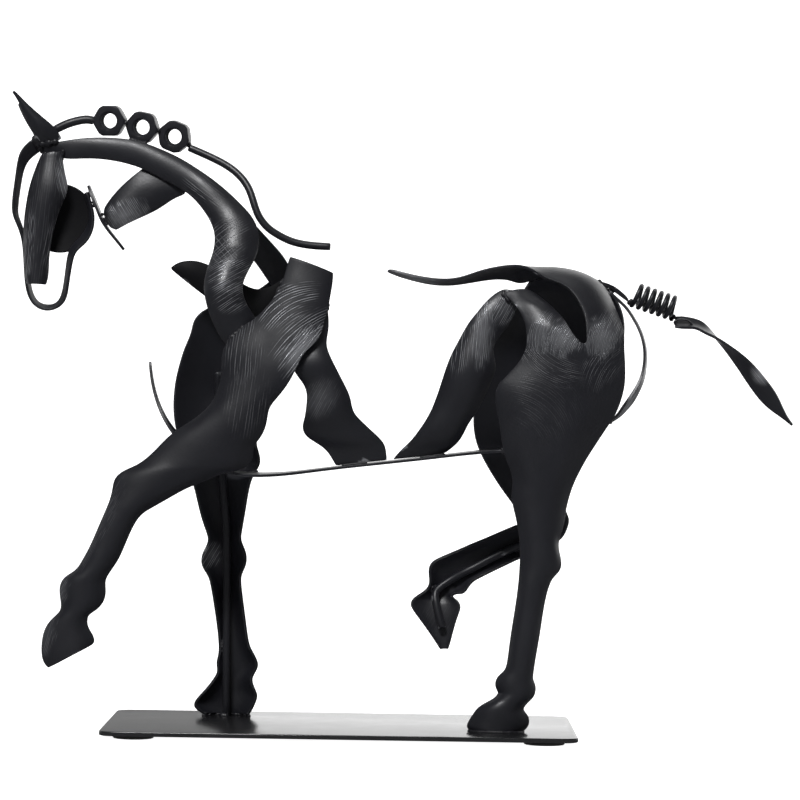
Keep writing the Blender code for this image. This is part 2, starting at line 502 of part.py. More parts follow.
# Buttock strip, outer edge then inner edge, from the root of the tail down
BUTTOCK = (
    (66.6, 143.1, 66.7, 142.7), (69.9, 140.2, 69.8, 139.7), (72.8, 137.7, 72.4, 137.4),
    (74.9, 134.6, 74.4, 134.3), (76.8, 131.4, 76.2, 131.1), (78.1, 128.3, 77.4, 128.1),
    (79.0, 124.8, 78.2, 124.8), (79.3, 121.7, 78.4, 121.7), (79.1, 118.2, 78.2, 118.3),
    (78.7, 115.0, 77.4, 115.0), (77.8, 112.3, 76.3, 112.5), (76.5, 109.6, 74.6, 109.7),
    (74.8, 106.5, 72.8, 107.1), (72.7, 104.2, 71.2, 104.9), (70.6, 101.9, 69.8, 102.6),
    (68.2, 98.8, 67.9, 99.6),
)
BUTTOCK_BENDS = ((0, 2.4, -2.4, 0), (7, -1, -7, 0), (15, -8, -12.5, 0))

# Tail: the root strap, the spring's axis, and the blade that twists below the spring
TAIL_ROOT = (
    (65.9, 145.5, 66.1, 144.3), (67.9, 144.7, 68.0, 143.1), (70.2, 143.3, 70.2, 141.4),
    (72.1, 141.7, 72.2, 139.9), (73.4, 140.3, 73.3, 139.2),
)
SPRING_START = (75.4, 141.6)
SPRING_LEAN = math.radians(-18)
TAIL_BLADE = (
    (88.7, 134.7, 88.5, 131.4), (89.8, 134.9, 89.6, 131.2), (93.0, 134.5, 93.2, 131.2),
    (95.2, 134.1, 95.2, 131.2), (97.4, 133.3, 97.0, 130.3), (98.9, 132.1, 99.0, 129.2),
    (100.3, 130.6, 101.0, 128.4), (102.0, 128.6, 102.4, 127.6), (103.5, 126.8, 103.7, 126.9),
    (105.6, 124.3, 107.7, 124.3), (107.8, 121.2, 110.4, 122.5), (110.0, 118.1, 113.5, 120.0),
    (112.0, 114.9, 116.2, 117.3), (114.6, 111.2, 118.9, 114.1), (116.9, 108.1, 121.2, 111.3),
    (120.0, 105.1, 123.0, 108.3), (122.6, 103.4, 124.4, 105.2), (125.6, 101.3, 125.9, 102.3),
    (127.4, 99.8, 127.6, 100.0),
)
TAIL_BLADE_BENDS = (
    (0, 2, -2, -0.9), (4, 2.6, -2.6, -0.7), (8, 3.6, -3.6, 0), (12, 2.4, -2.4, 0.5), (18, 0.2, -0.2, 0),
)

# Rods: points of their axes in the side view
MANE_FRONT = ((-115.0, 192.7), (-111.3, 194.6), (-107.4, 195.8), (-104.6, 196.2), (-102.9, 196.2))
MANE_BACK = (
    (-65.8, -0.6, 185.3), (-60.7, -1.6, 182.9), (-56.6, -2.8, 180.4), (-53.3, -4.2, 177.3),
    (-51.0, -5.6, 173.8), (-49.6, -6.6, 170.0), (-48.2, -7.2, 166.0), (-46.1, -7.4, 162.8),
    (-43.2, -7.2, 160.2), (-37.2, -6.8, 157.1), (-30.8, -6.4, 155.9), (-24.4, -6.2, 155.6),
)
FIRST_NUT = (-97.1, 195.9)
NUT_FALL = (-10.3, -15.3)
NUT_TURN = (0, -12, -22)
FORE_ROD = (
    (-61.5, 114.4), (-61.5, 108.0), (-61.4, 102.0), (-61.1, 95.0), (-60.6, 88.0), (-60.0, 81.7),
    (-59.5, 77.0), (-58.9, 71.5),
    (-58.0, 63.0), (-57.7, 48.0), (-57.6, 36.0), (-57.5, 27.0), (-57.3, 17.0),
)
FORE_ROD_FOOT_X = -57.2
HIND_ROD = (
    (46.0, 61.0), (39.3, 58.2), (33.7, 55.6), (29.6, 53.5), (25.6, 51.3), (21.6, 49.2), (17.6, 46.9),
    (13.4, 44.0),
    (11.9, 41.9), (12.0, 39.3), (13.1, 34.6), (14.3, 30.6),
)


def build_base():
    """The base plate with rounded corners, and a rubber pad under each corner."""
    bm = bmesh.new()
    bmesh.ops.create_cube(bm, size=1)
    bmesh.ops.scale(bm, vec=(PLATE_LENGTH, PLATE_DEPTH, PLATE_THICKNESS), verts=bm.verts)
    corners = [e for e in bm.edges if abs(e.verts[0].co.z - e.verts[1].co.z) > PLATE_THICKNESS / 2]
    bmesh.ops.bevel(bm, geom=corners, offset=PLATE_CORNER, segments=6, profile=0.5, affect="EDGES")
    centre_z = PAD_HEIGHT + GAP + PLATE_THICKNESS / 2
    bmesh.ops.translate(bm, vec=(PLATE_CENTRE_X, 0, centre_z), verts=bm.verts)
    plate = add_object("base_plate", bm)
    paint(plate, "base_plate_paint", (0.02, 0.02, 0.023), 0.12, 0.3)
    reach_x = PLATE_LENGTH / 2 - PAD_INSET_X
    reach_y = PLATE_DEPTH / 2 - PAD_INSET_Y
    places = {
        "base_pad_front_near": (-1, -1), "base_pad_front_far": (-1, 1),
        "base_pad_back_near": (1, -1), "base_pad_back_far": (1, 1),
    }
    for name, (along, across) in places.items():
        bm = bmesh.new()
        bmesh.ops.create_cone(bm, cap_ends=True, segments=16, radius1=PAD_DIAMETER / 2,
                              radius2=PAD_DIAMETER / 2, depth=PAD_HEIGHT)
        place = (PLATE_CENTRE_X + along * reach_x, across * reach_y, PAD_HEIGHT / 2)
        bmesh.ops.translate(bm, vec=place, verts=bm.verts)
        paint(add_object(name, bm), name + "_rubber", (0.03, 0.03, 0.03), 0.8, 0)


def build_near_hindleg():
    """The near hip and leg with its slot, and the topline strip that is cut from the same sheet."""
    legs = bent_rows(NEAR_HINDLEG, NEAR_HINDLEG_BENDS, HIP_SHARES, NEAR)
    tongue = bent_rows(HIP_TONGUE, HIP_TONGUE_BENDS, even(TONGUE_COLUMNS), NEAR)
    stand(legs)
    strip_columns = len(HIP_SHARES) - TONGUE_COLUMNS - 2
    strip = bent_rows(TOPLINE, TOPLINE_BENDS, even(strip_columns), NEAR)
    bm = bmesh.new()
    crotch = skin(bm, legs)[0]
    skin(bm, [legs[0]] + tongue, first=crotch[:TONGUE_COLUMNS + 1])
    skin(bm, [legs[0]] + strip, first=crotch[TONGUE_COLUMNS + 1:])
    add_sheet("near_hindleg", bm)
    return legs, tongue, strip


def build_legs():
    """The four leg sheets and the two rods that stiffen the far legs."""
    near_fore = bent_rows(NEAR_FORELEG, NEAR_FORELEG_BENDS, rolled(5), NEAR)
    loft("near_foreleg", near_fore)
    far_fore = bent_rows(FAR_FORELEG, FAR_FORELEG_BENDS, rolled(5), FAR)
    stand(far_fore)
    loft("far_foreleg", far_fore)
    near_hind, tongue, topline = build_near_hindleg()
    far_hind = bent_rows(FAR_HINDLEG, FAR_HINDLEG_BENDS, rolled(5), FAR)
    meet(far_hind[0], surface(topline))
    loft("far_hindleg", far_hind)
    return near_fore, far_fore, near_hind, far_hind, tongue, topline


def rod_in_trough(points, target, diameter):
    """The axis of a rod that lies in the hollow of a far leg."""
    room = diameter / 2 + SHEET / 2 + 3.4 * GAP
    axis = []
    for x, z in points:
        p = spot(x, 0, z)
        met = facing(target, p.x, p.z, -1)
        p.y = met[0] - room * met[1]
        axis.append(p)
    return axis


def build_leg_rods(far_fore, far_hind):
    """The rods in the hollows of the far legs."""
    axis = rod_in_trough(FORE_ROD, surface(far_fore), LEG_ROD)
    foot = axis[-1].copy()
    foot.x = FORE_ROD_FOOT_X * MM
    foot.z = PLATE_TOP + GAP
    add_rod("foreleg_rod", smooth(axis + [foot], 1), LEG_ROD)
    hind_axis = rod_in_trough(HIND_ROD, surface(far_hind), LEG_ROD)
    add_rod("hindleg_rod", smooth(hind_axis, 2), LEG_ROD)
    return axis


def rod_front(axis, diameter):
    """A band along a rod's near side, for a sheet that stops short of the rod."""
    depth = Vector((0, SHEET - diameter / 2, 0))
    half = Vector((diameter / 2 + SHEET, 0, 0))
    return [[p + depth - half, p + depth + half] for p in axis]


def build_neck(near_fore, far_fore):
    """The two neck bands and the breast strap."""
    shares = rolled(5)
    near = bent_rows(NEAR_NECK, NEAR_NECK_BENDS, shares, NEAR)
    lap(near[::-1], surface(near_fore), 1, 2, 3)
    meet(near[0], surface(head_bar_rows()))
    loft("near_neck", near)
    far = bent_rows(FAR_NECK, FAR_NECK_BENDS, even(3), FAR)
    lap(far, surface(near), 1, 2, 1)
    lap(far[::-1], surface(far_fore), -1, 2, 1)
    loft("far_neck", far)
    breast = bent_rows(BREAST, BREAST_BENDS, even(3), NEAR)
    lap(breast[::-1], surface(near_fore), 1, 2, 2)
    loft("breast_strap", breast)
    return near


def reach(path, near, far):
    """Edges of a ribbon in depth: its half width, or less where it comes to the sheets beside it."""
    samples = []
    for i, (low, high) in enumerate(zip(path, path[1:])):
        for t in (0, 0.2, 0.4, 0.6, 0.8, 1):
            p = spot(low[0] + (high[0] - low[0]) * t, 0, low[1] + (high[1] - low[1]) * t)
            samples.append((i + t, p))
    edges = []
    for i, (_, _, half) in enumerate(path):
        row = []
        for side, targets in ((-1, near), (1, far)):
            depth = []
            for place, p in samples:
                if abs(place - i) <= 1:
                    for target in targets:
                        met = facing(target, p.x, p.z, -side)
                        if met:
                            depth.append(side * met[0] - (SHEET + GAP) * met[1])
            row.append(side * min(depth + [half * MM]))
        edges.append(row)
    return edges


def ribbon_rows(path, columns, edges=None):
    """Rows of a ribbon that lies across the horse: (x, z, half width) at each row."""
    edges = edges or [(-half * MM, half * MM) for _, _, half in path]
    rows = []
    for (x, z, _), (near, far) in zip(path, edges):
        row = [spot(x, 0, z) for _ in range(columns + 1)]
        for p, t in zip(row, even(columns)):
            p.y = near + (far - near) * t
        rows.append(row)
    return rows


def seat(row):
    """Lets a rib's end down onto the belly strip."""
    for p in row:
        for low, high in zip(BELLY, BELLY[1:]):
            if low[0] * MM <= p.x <= high[0] * MM:
                share = (p.x / MM - low[0]) / (high[0] - low[0])
                p.z = spot(0, 0, low[1] + (high[1] - low[1]) * share).z + SHEET / 2 + 1.5 * GAP


def build_ribs(near_fore, tongue):
    """The two ribs, each lapped inside the sheet above it and standing on the belly strip."""
    front = bent_rows(FRONT_RIB, FRONT_RIB_BENDS, rolled(4), NEAR)
    lap(front, surface(near_fore), 1, 5, 2)
    seat(front[-1])
    loft("front_rib", front)
    rear = bent_rows(REAR_RIB, REAR_RIB_BENDS, rolled(4), NEAR)
    lap(rear, surface(tongue), 1, 3, 3)
    seat(rear[-1])
    loft("rear_rib", rear)


def build_straps(near, far, near_neck):
    """Throat, belly and buttock strips. near, far: what each side of the belly strip comes to."""
    throat = bent_rows(THROAT, THROAT_BENDS, even(4), NEAR)
    lap(throat, surface(near_neck), 1, 2, 2)
    loft("throat_strip", throat)
    loft("throat_blade", ribbon_rows(THROAT_BLADE, 2))
    edges = reach(BELLY, [surface(rows) for rows in near], [surface(rows) for rows in far])
    loft("belly_strip", ribbon_rows(BELLY, 2, edges))
    buttock = bent_rows(BUTTOCK, BUTTOCK_BENDS, even(2), NEAR)
    meet(buttock[-1], surface(near[1]))
    loft("buttock_strip", buttock)


def head_bar_rows():
    """The flat bar that draws the outline of the head."""
    return bent_rows(HEAD_BAR, HEAD_BAR_BENDS, even(1), NEAR)


def build_head(near_neck):
    """Face plate, outline bar, cheek disc and ears."""
    poll = surface(near_neck)
    loft("face_plate", bent_rows(FACE, FACE_BENDS, rolled(6), NEAR, power=2.8))
    loft("head_bar", head_bar_rows())
    near_ear = bent_rows(NEAR_EAR, NEAR_EAR_BENDS, even(3), NEAR, power=1.8)
    far_ear = bent_rows(FAR_EAR, FAR_EAR_BENDS, even(3), FAR, power=1.8)
    for name, rows in (("near_ear", near_ear), ("far_ear", far_ear)):
        meet(rows[0], poll)
        loft(name, rows)
    bm = bmesh.new()
    centre = spot(DISC_CENTRE[0], 0, DISC_CENTRE[1])
    centre.y = HEAD_BAR_HALF * MM + SHEET + GAP
    sides = 18
    rings = []
    for share in (0.45, 0.8, 1):
        ring = []
        for i in range(sides):
            angle = 2 * math.pi * i / sides
            offset = Vector((math.cos(angle), 0, math.sin(angle))) * share * DISC_DIAMETER / 2
            offset.y = DISC_DISH * (1 - share ** 2)
            ring.append(bm.verts.new(centre + offset))
        rings.append(ring)
    bm.faces.new(rings[0])
    for inner, outer in zip(rings, rings[1:]):
        for i in range(sides):
            j = (i + 1) % sides
            bm.faces.new((inner[i], inner[j], outer[j], outer[i]))
    add_sheet("cheek_disc", bm)


def add_nut(name, centre, turn):
    """A hexagon nut with its bore along Y and its corners rounded off."""
    sides = 18
    bm = bmesh.new()
    loops = []
    for y in (-NUT_THICKNESS / 2, NUT_THICKNESS / 2):
        outer, inner = [], []
        for i in range(sides):
            angle = math.radians(turn) + 2 * math.pi * i / sides
            off = (math.degrees(angle) - turn) % 60 - 30
            reach = min(NUT_FLATS / 2 / math.cos(math.radians(off)), NUT_CORNERS / 2)
            ray = Vector((math.cos(angle), 0, math.sin(angle)))
            outer.append(bm.verts.new(centre + ray * reach + Vector((0, y, 0))))
            inner.append(bm.verts.new(centre + ray * NUT_BORE / 2 + Vector((0, y, 0))))
        loops += [outer, inner]
    front_out, front_in, back_out, back_in = loops
    for a, b in ((front_out, front_in), (front_in, back_in), (back_in, back_out), (back_out, front_out)):
        for i in range(sides):
            j = (i + 1) % sides
            bm.faces.new((a[i], a[j], b[j], b[i]))
    paint_steel(add_object(name, bm))


def build_mane():
    """Three nuts in a chain between two rods, over the crest."""
    centre = spot(FIRST_NUT[0], 0, FIRST_NUT[1])
    first = centre.copy()
    for number, turn in enumerate(NUT_TURN):
        add_nut(f"mane_nut_{number + 1}", centre, turn)
        last = centre.copy()
        if number < len(NUT_FALL):
            fall = math.radians(NUT_FALL[number])
            centre = centre + Vector((math.cos(fall), 0, math.sin(fall))) * (NUT_CORNERS + GAP)
    reach = NUT_CORNERS / 2 + GAP
    front = [spot(x, 0, z) for x, z in MANE_FRONT[:-1]]
    front.append(first + Vector((-reach, 0, 0)))
    add_rod("mane_rod_front", smooth(front, 2), MANE_ROD)
    slope = math.radians(-37)
    start = last + Vector((math.cos(slope), 0, math.sin(slope))) * (NUT_FLATS / 2 + 1.4 * GAP + MANE_ROD / 4)
    back = [start] + [spot(*place) for place in MANE_BACK]
    add_rod("mane_rod_back", smooth(back, 2), MANE_ROD)


def build_tail(topline):
    """The root strap, the spring and the twisted blade."""
    root = bent_rows(TAIL_ROOT, ((0, 0, 0, 0), (4, 0, 0, 0)), even(1), NEAR)
    meet(root[0], surface(topline))
    loft("tail_root", root)
    start = spot(SPRING_START[0], 0, SPRING_START[1])
    along = Vector((math.cos(SPRING_LEAN), 0, math.sin(SPRING_LEAN)))
    up = Vector((-math.sin(SPRING_LEAN), 0, math.cos(SPRING_LEAN)))
    across = Vector((0, 1, 0))
    radius = (SPRING_DIAMETER - SPRING_WIRE) / 2
    steps = 8
    points = []
    for i in range(round(SPRING_TURNS * steps) + 1):
        angle = 2 * math.pi * i / steps + math.pi
        around = up * math.cos(angle) + across * math.sin(angle)
        points.append(start + along * SPRING_PITCH * i / steps + around * radius)
    add_rod("tail_spring", points, SPRING_WIRE, 1)
    blade = bent_rows(TAIL_BLADE, TAIL_BLADE_BENDS, even(3), NEAR)
    loft("tail_blade", blade)


def main():
    for obj in list(bpy.data.objects):
        bpy.data.objects.remove(obj, do_unlink=True)
    build_base()
    near_fore, far_fore, near_hind, far_hind, tongue, topline = build_legs()
    fore_axis = build_leg_rods(far_fore, far_hind)
    near_neck = build_neck(near_fore, far_fore)
    build_ribs(near_fore, tongue)
    build_straps((near_fore, near_hind), (rod_front(fore_axis, LEG_ROD), far_fore, far_hind), near_neck)
    build_head(near_neck)
    build_mane()
    build_tail(topline)


main()
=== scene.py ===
"""Studio scene of a welded sheet-steel horse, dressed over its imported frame.

Lengths in the dataclasses are in millimetres, and the frame itself is in metres. The horse faces -X,
its near side is -Y, and +Z is up.
"""

from __future__ import annotations

import logging
import math
from dataclasses import dataclass
from enum import Enum

import bmesh
import bpy
from mathutils import Matrix, Vector, noise
from mathutils.bvhtree import BVHTree


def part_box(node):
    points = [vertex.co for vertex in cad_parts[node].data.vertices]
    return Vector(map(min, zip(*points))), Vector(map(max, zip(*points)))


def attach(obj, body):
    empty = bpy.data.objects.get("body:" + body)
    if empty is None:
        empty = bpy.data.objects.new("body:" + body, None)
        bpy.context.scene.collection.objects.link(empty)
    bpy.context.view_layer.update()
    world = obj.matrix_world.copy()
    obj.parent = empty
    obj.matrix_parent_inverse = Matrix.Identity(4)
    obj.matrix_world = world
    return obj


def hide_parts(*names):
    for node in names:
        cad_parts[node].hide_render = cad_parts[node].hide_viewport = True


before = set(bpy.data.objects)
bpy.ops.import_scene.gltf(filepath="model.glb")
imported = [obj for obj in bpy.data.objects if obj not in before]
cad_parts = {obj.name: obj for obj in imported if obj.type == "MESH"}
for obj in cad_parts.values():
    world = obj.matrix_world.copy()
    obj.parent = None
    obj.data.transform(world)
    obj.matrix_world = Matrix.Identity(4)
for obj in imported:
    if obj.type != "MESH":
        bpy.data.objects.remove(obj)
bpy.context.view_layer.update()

MM = 0.001
LOG = logging.getLogger("horse")
Socket = bpy.types.NodeSocket


# Tools of the bench


def deselect() -> None:
    """Leaves nothing selected."""
    if bpy.context.object and bpy.context.object.mode != "OBJECT":
        bpy.ops.object.mode_set(mode="OBJECT")
    bpy.ops.object.select_all(action="DESELECT")


def pick(*pieces: bpy.types.Object) -> bpy.types.Object:
    """Selects pieces alone and makes the first one active.

    Args:
        pieces: The objects to select.

    Returns:
        The active one.
    """
    deselect()
    for piece in pieces:
        piece.select_set(True)
    bpy.context.view_layer.objects.active = pieces[0]
    return pieces[0]


def named(piece: bpy.types.Object, name: str) -> bpy.types.Object:
    """Names an object and its mesh alike.

    Args:
        piece: The object.
        name: Its new name.

    Returns:
        The same object.
    """
    piece.name = name
    piece.data.name = name
    return piece


def settle(piece: bpy.types.Object) -> None:
    """Moves an object's place, turn and scale into its mesh.

    Args:
        piece: The object.
    """
    pick(piece)
    bpy.ops.object.transform_apply(location=True, rotation=True, scale=True)


def apply_all(piece: bpy.types.Object) -> None:
    """Applies every modifier of an object, in order.

    Args:
        piece: The object.
    """
    pick(piece)
    for name in [modifier.name for modifier in piece.modifiers]:
        bpy.ops.object.modifier_apply(modifier=name)


def smooth_by_angle(piece: bpy.types.Object, degrees: float = 42) -> None:
    """Shades an object smooth, with sharp edges over an angle.

    Args:
        piece: The object.
        degrees: The angle from which an edge stays sharp.
    """
    pick(piece)
    bpy.ops.object.shade_smooth_by_angle(angle=math.radians(degrees))


def close_up(piece: bpy.types.Object, threshold: float = 0) -> None:
    """Joins points that lie together and turns every face outwards.

    Args:
        piece: The object.
        threshold: How near such points are, m.
    """
    pick(piece)
    bpy.ops.object.mode_set(mode="EDIT")
    bpy.ops.mesh.select_all(action="SELECT")
    if threshold:
        bpy.ops.mesh.remove_doubles(threshold=threshold)
    bpy.ops.mesh.normals_make_consistent(inside=False)
    bpy.ops.object.mode_set(mode="OBJECT")


def soft_step(tree: bpy.types.NodeTree, source: Socket, stops: tuple[float, ...]) -> Socket:
    """A Map Range node with a smooth step.

    Args:
        tree: The material's nodes.
        source: The value.
        stops: Where it starts and ends, and what it gives there.

    Returns:
        Its output.
    """
    step = tree.nodes.new("ShaderNodeMapRange")
    step.interpolation_type = "SMOOTHSTEP"
    tree.links.new(source, step.inputs["Value"])
    for key, value in zip(("From Min", "From Max", "To Min", "To Max"), stops):
        step.inputs[key].default_value = value
    return step.outputs[0]


def tree_of(name: str) -> BVHTree:
    """The surface of a frame node, to be met by rays and nearest points.

    Args:
        name: The node.

    Returns:
        Its search tree.
    """
    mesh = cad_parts[name].data
    corners = [vertex.co.copy() for vertex in mesh.vertices]
    return BVHTree.FromPolygons(corners, [tuple(face.vertices) for face in mesh.polygons])


# Finishes


class Finish(Enum):
    """The paints and the rubber of the sculpture; two of the paints are darker copies of the satin that
    paint shade.
    """

    SATIN = "satin"
    GLOSS = "gloss"
    # A rougher copy of the satin paint, made darker as a painted shade
    SOFT = "soft"
    # A near black, dull copy of the satin paint, a painted shade for pieces that lie in shadow
    MATT_SHADE = "matt"
    RUBBER = "rubber"
    WELD = "weld"


@dataclass(frozen=True)
class Coat:
    """What one finish looks like, before the grinder's marks.

    Attributes:
        colour: Its colour, linear.
        metallic: How metallic it is.
        roughness: Its lowest and highest roughness.
        grain: The size of its finest grain, mm.
        grain_depth: The depth of that grain, mm.
        specular: Its specular level.
    """

    colour: tuple[float, float, float]
    metallic: float
    roughness: tuple[float, float]
    grain: float
    grain_depth: float
    specular: float = 0.5


COATS: dict[Finish, Coat] = {
    Finish.SATIN: Coat((0.0110, 0.0114, 0.0150), 0.1, (0.36, 0.44), 0.7, 0.030),
    Finish.GLOSS: Coat((0.012, 0.012, 0.013), 0.0, (0.20, 0.22), 1.2, 0.0003),
    # The soft coat: rougher than the satin, and darker as a painted shade
    Finish.SOFT: Coat((0.0085, 0.0088, 0.0120), 0.0, (0.48, 0.58), 0.7, 0.030, 0.3),
    # The dull coat: near black and hardly reflecting, a painted shade
    Finish.MATT_SHADE: Coat((0.004, 0.004, 0.005), 0.0, (0.55, 0.65), 0.8, 0.02, 0.12),
    Finish.RUBBER: Coat((0.012, 0.012, 0.012), 0.0, (0.75, 0.9), 0.3, 0.02),
    Finish.WELD: Coat((0.010, 0.010, 0.013), 0.0, (0.42, 0.55), 0.3, 0.05, 0.4),
}
HOOF_TOP = 20 * MM
# Raw steel's colour: real wear on scratch crests and edges, and also the painted highlight of the patches'
# sheen
BARE_AND_SHEEN = (0.50, 0.51, 0.54, 1)

# The colour sockets of a Mix node, whose other sockets have the same names

MIX_A = 6
MIX_B = 7
MIXED = 2

# The coat: how dark and light its clouds are, the sizes of its noises in mm, and their steps

CLOUD_SHADES = (0.8, 1.2)
CLOUD_SIZE = 22
SHEEN_SIZE = 9
SHEEN_STEP = (0.3, 0.7)
CHIP_SIZE = 4
CHIP_STEP = (0.40, 0.62)
POINTED_STEP = (0.53, 0.60)

# The scratches: a patch's ragged edge, its crisp and its long end, and its lines' waver and breaks

RAGGED_SIZE = 3.5
RAGGED_SHARE = 0.5
CRISP_END = (0.75, 1.3)
LONG_END = (0.25, 1.25)
STRETCH = 0.12
WAVER = 13
CREST_STEP = (0.45, 1)
BREAK_STEP = (0.42, 0.54)
# How much of a patch's painted sheen follows its lines, and how much lies evenly over it
PAINTED_SHEEN_LINES = 0.65
PAINTED_SHEEN_GROUND = 0.35


@dataclass(frozen=True)
class Grind:
    """A patch of scratches left by a grinder or a wire brush under the paint, with a painted sheen over it
    where set.

    Attributes:
        at: Its middle in the side view, x and z, mm.
        size: Its reach along and across the scratches, mm.
        angle: The scratches' direction from +X towards +Z, degrees.
        pitch: The distance between scratches, mm.
        depth: Their depth, mm.
        bow: The radius that the scratches bend on, mm, or 0 where they are straight.
        worn: How far the paint is rubbed off their crests, from 0 to 1.
        buffed_sheen: How far the whole patch is rubbed down to raw steel, from 0 to 1; partly real buffing,
            partly a painted highlight set where the light falls.
    """

    at: tuple[float, float]
    size: tuple[float, float]
    angle: float
    pitch: float = 0.55
    depth: float = 0.05
    bow: float = 0
    worn: float = 0.25
    buffed_sheen: float = 0


class Paint:
    """Builds node materials for the sculpture."""

    def __init__(self, name: str, finish: Finish) -> None:
        """Starts a material.

        Args:
            name: The material's name.
            finish: Its finish.
        """
        self.coat = COATS[finish]
        self.material = bpy.data.materials.new(name)
        self.material.use_nodes = True
        self.nodes = self.material.node_tree.nodes
        self.links = self.material.node_tree.links
        self.shader = self.nodes["Principled BSDF"]
        self.place = self.nodes.new("ShaderNodeTexCoord").outputs["Object"]

    def math(self, operation: str, a: object, b: object = 0.0) -> Socket:
        """A Math node.

        Args:
            operation: Its operation.
            a: First value or socket.
            b: Second value or socket.

        Returns:
            Its output.
        """
        node = self.nodes.new("ShaderNodeMath")
        node.operation = operation
        for socket, value in zip(node.inputs, (a, b)):
            if isinstance(value, Socket):
                self.links.new(value, socket)
            else:
                socket.default_value = value
        return node.outputs[0]

    def mapped(self, source: Socket, kind: str, **values: tuple) -> Socket:
        """A Mapping node.

        Args:
            source: The coordinates.
            kind: Its vector type.
            values: Location, Rotation and Scale, as wanted.

        Returns:
            Its output.
        """
        node = self.nodes.new("ShaderNodeMapping")
        node.vector_type = kind
        self.links.new(source, node.inputs["Vector"])
        for key, value in values.items():
            node.inputs[key].default_value = value
        return node.outputs[0]

    def noise(self, source: Socket, size: float, detail: float = 2, rough: float = 0.5) -> Socket:
        """A Noise texture.

        Args:
            source: The coordinates, in metres.
            size: The size of its features, mm.
            detail: Its detail.
            rough: Its roughness.

        Returns:
            Its height.
        """
        node = self.nodes.new("ShaderNodeTexNoise")
        self.links.new(source, node.inputs["Vector"])
        node.inputs["Scale"].default_value = 1 / (size * MM)
        node.inputs["Detail"].default_value = detail
        node.inputs["Roughness"].default_value = rough
        return node.outputs[0]

    def spread(self, source: Socket, low: float, high: float, to_low: float = 0,
               to_high: float = 1) -> Socket:
        """A smooth step.

        Args:
            source: The value.
            low: Where it starts.
            high: Where it ends.
            to_low: The value at the start.
            to_high: The value at the end.

        Returns:
            Its output.
        """
        return soft_step(self.material.node_tree, source, (low, high, to_low, to_high))

    def scratches(self, grind: Grind) -> tuple[Socket, Socket, Socket]:
        """The height of one patch of scratches, and where the patch is.

        Args:
            grind: The patch.

        Returns:
            Its height from 0 to 1, where it is, from 0 to 1, and the same with a long soft edge.
        """
        centre = (grind.at[0] * MM, 0, grind.at[1] * MM)
        turn = (0, math.radians(-grind.angle), 0)
        turned = self.mapped(self.place, "TEXTURE", Location=centre, Rotation=turn)
        reach = self.mapped(turned, "POINT", Scale=(1 / (grind.size[0] * MM), 0, 1 / (grind.size[1] * MM)))
        far = self.nodes.new("ShaderNodeVectorMath")
        far.operation = "LENGTH"
        self.links.new(reach, far.inputs[0])
        tatters = self.math("MULTIPLY", self.noise(turned, RAGGED_SIZE, 3), RAGGED_SHARE)
        ragged = self.math("ADD", far.outputs["Value"], tatters)
        extent = self.spread(ragged, *CRISP_END, 1, 0)
        fading = self.spread(ragged, *LONG_END, 1, 0)
        parts = self.nodes.new("ShaderNodeSeparateXYZ")
        self.links.new(turned, parts.inputs[0])
        along, across = parts.outputs[0], parts.outputs[2]
        if grind.bow:
            bent = self.math("DIVIDE", self.math("MULTIPLY", along, along), 2 * grind.bow * MM)
            across = self.math("ADD", across, bent)
        joined = self.nodes.new("ShaderNodeCombineXYZ")
        self.links.new(self.math("MULTIPLY", along, STRETCH), joined.inputs[0])
        self.links.new(across, joined.inputs[2])
        drift = self.math("MULTIPLY", self.noise(joined.outputs[0], grind.pitch * 5, 3, 0.6), WAVER)
        phase = self.math("ADD", self.math("MULTIPLY", across, math.tau / (grind.pitch * MM)), drift)
        crest = self.spread(self.math("SINE", phase), *CREST_STEP)
        broken = self.spread(self.noise(joined.outputs[0], grind.pitch * 1.6, 2), *BREAK_STEP, 0.05, 1)
        height = self.math("MULTIPLY", crest, broken)
        return height, extent, fading

    def build(self, grinds: tuple[Grind, ...] = (), rubbed: float = 0) -> bpy.types.Material:
        """Wires the coat, the scratches and the painted sheen of the patches to the shader.

        Args:
            grinds: The patches of scratches.
            rubbed: How far the paint is rubbed off the edges, from 0 to 1.

        Returns:
            The material.
        """
        coat = self.coat
        cloud = self.noise(self.place, CLOUD_SIZE, 3, 0.55)
        grain = self.noise(self.place, coat.grain, 2)
        shade = self.nodes.new("ShaderNodeMix")
        shade.data_type = "RGBA"
        self.links.new(cloud, shade.inputs["Factor"])
        for socket, share in zip((MIX_A, MIX_B), CLOUD_SHADES):
            shade.inputs[socket].default_value = (*(part * share for part in coat.colour), 1)
        rough = self.spread(self.noise(self.place, SHEEN_SIZE, 4, 0.6), *SHEEN_STEP, *coat.roughness)
        height = self.math("MULTIPLY", grain, coat.grain_depth * MM)
        pointed = self.nodes.new("ShaderNodeNewGeometry").outputs["Pointiness"]
        edge = self.spread(pointed, *POINTED_STEP, 0, rubbed)
        chips = self.spread(self.noise(self.place, CHIP_SIZE, 4, 0.6), *CHIP_STEP, 0.1, 1)
        bare_and_sheen = self.math("MULTIPLY", edge, chips)
        for grind in grinds:
            lines, extent, fading = self.scratches(grind)
            mark = self.math("MULTIPLY", lines, extent)
            height = self.math("ADD", height, self.math("MULTIPLY", mark, grind.depth * MM))
            bare_and_sheen = self.math("MAXIMUM", bare_and_sheen, self.math("MULTIPLY", mark, grind.worn))
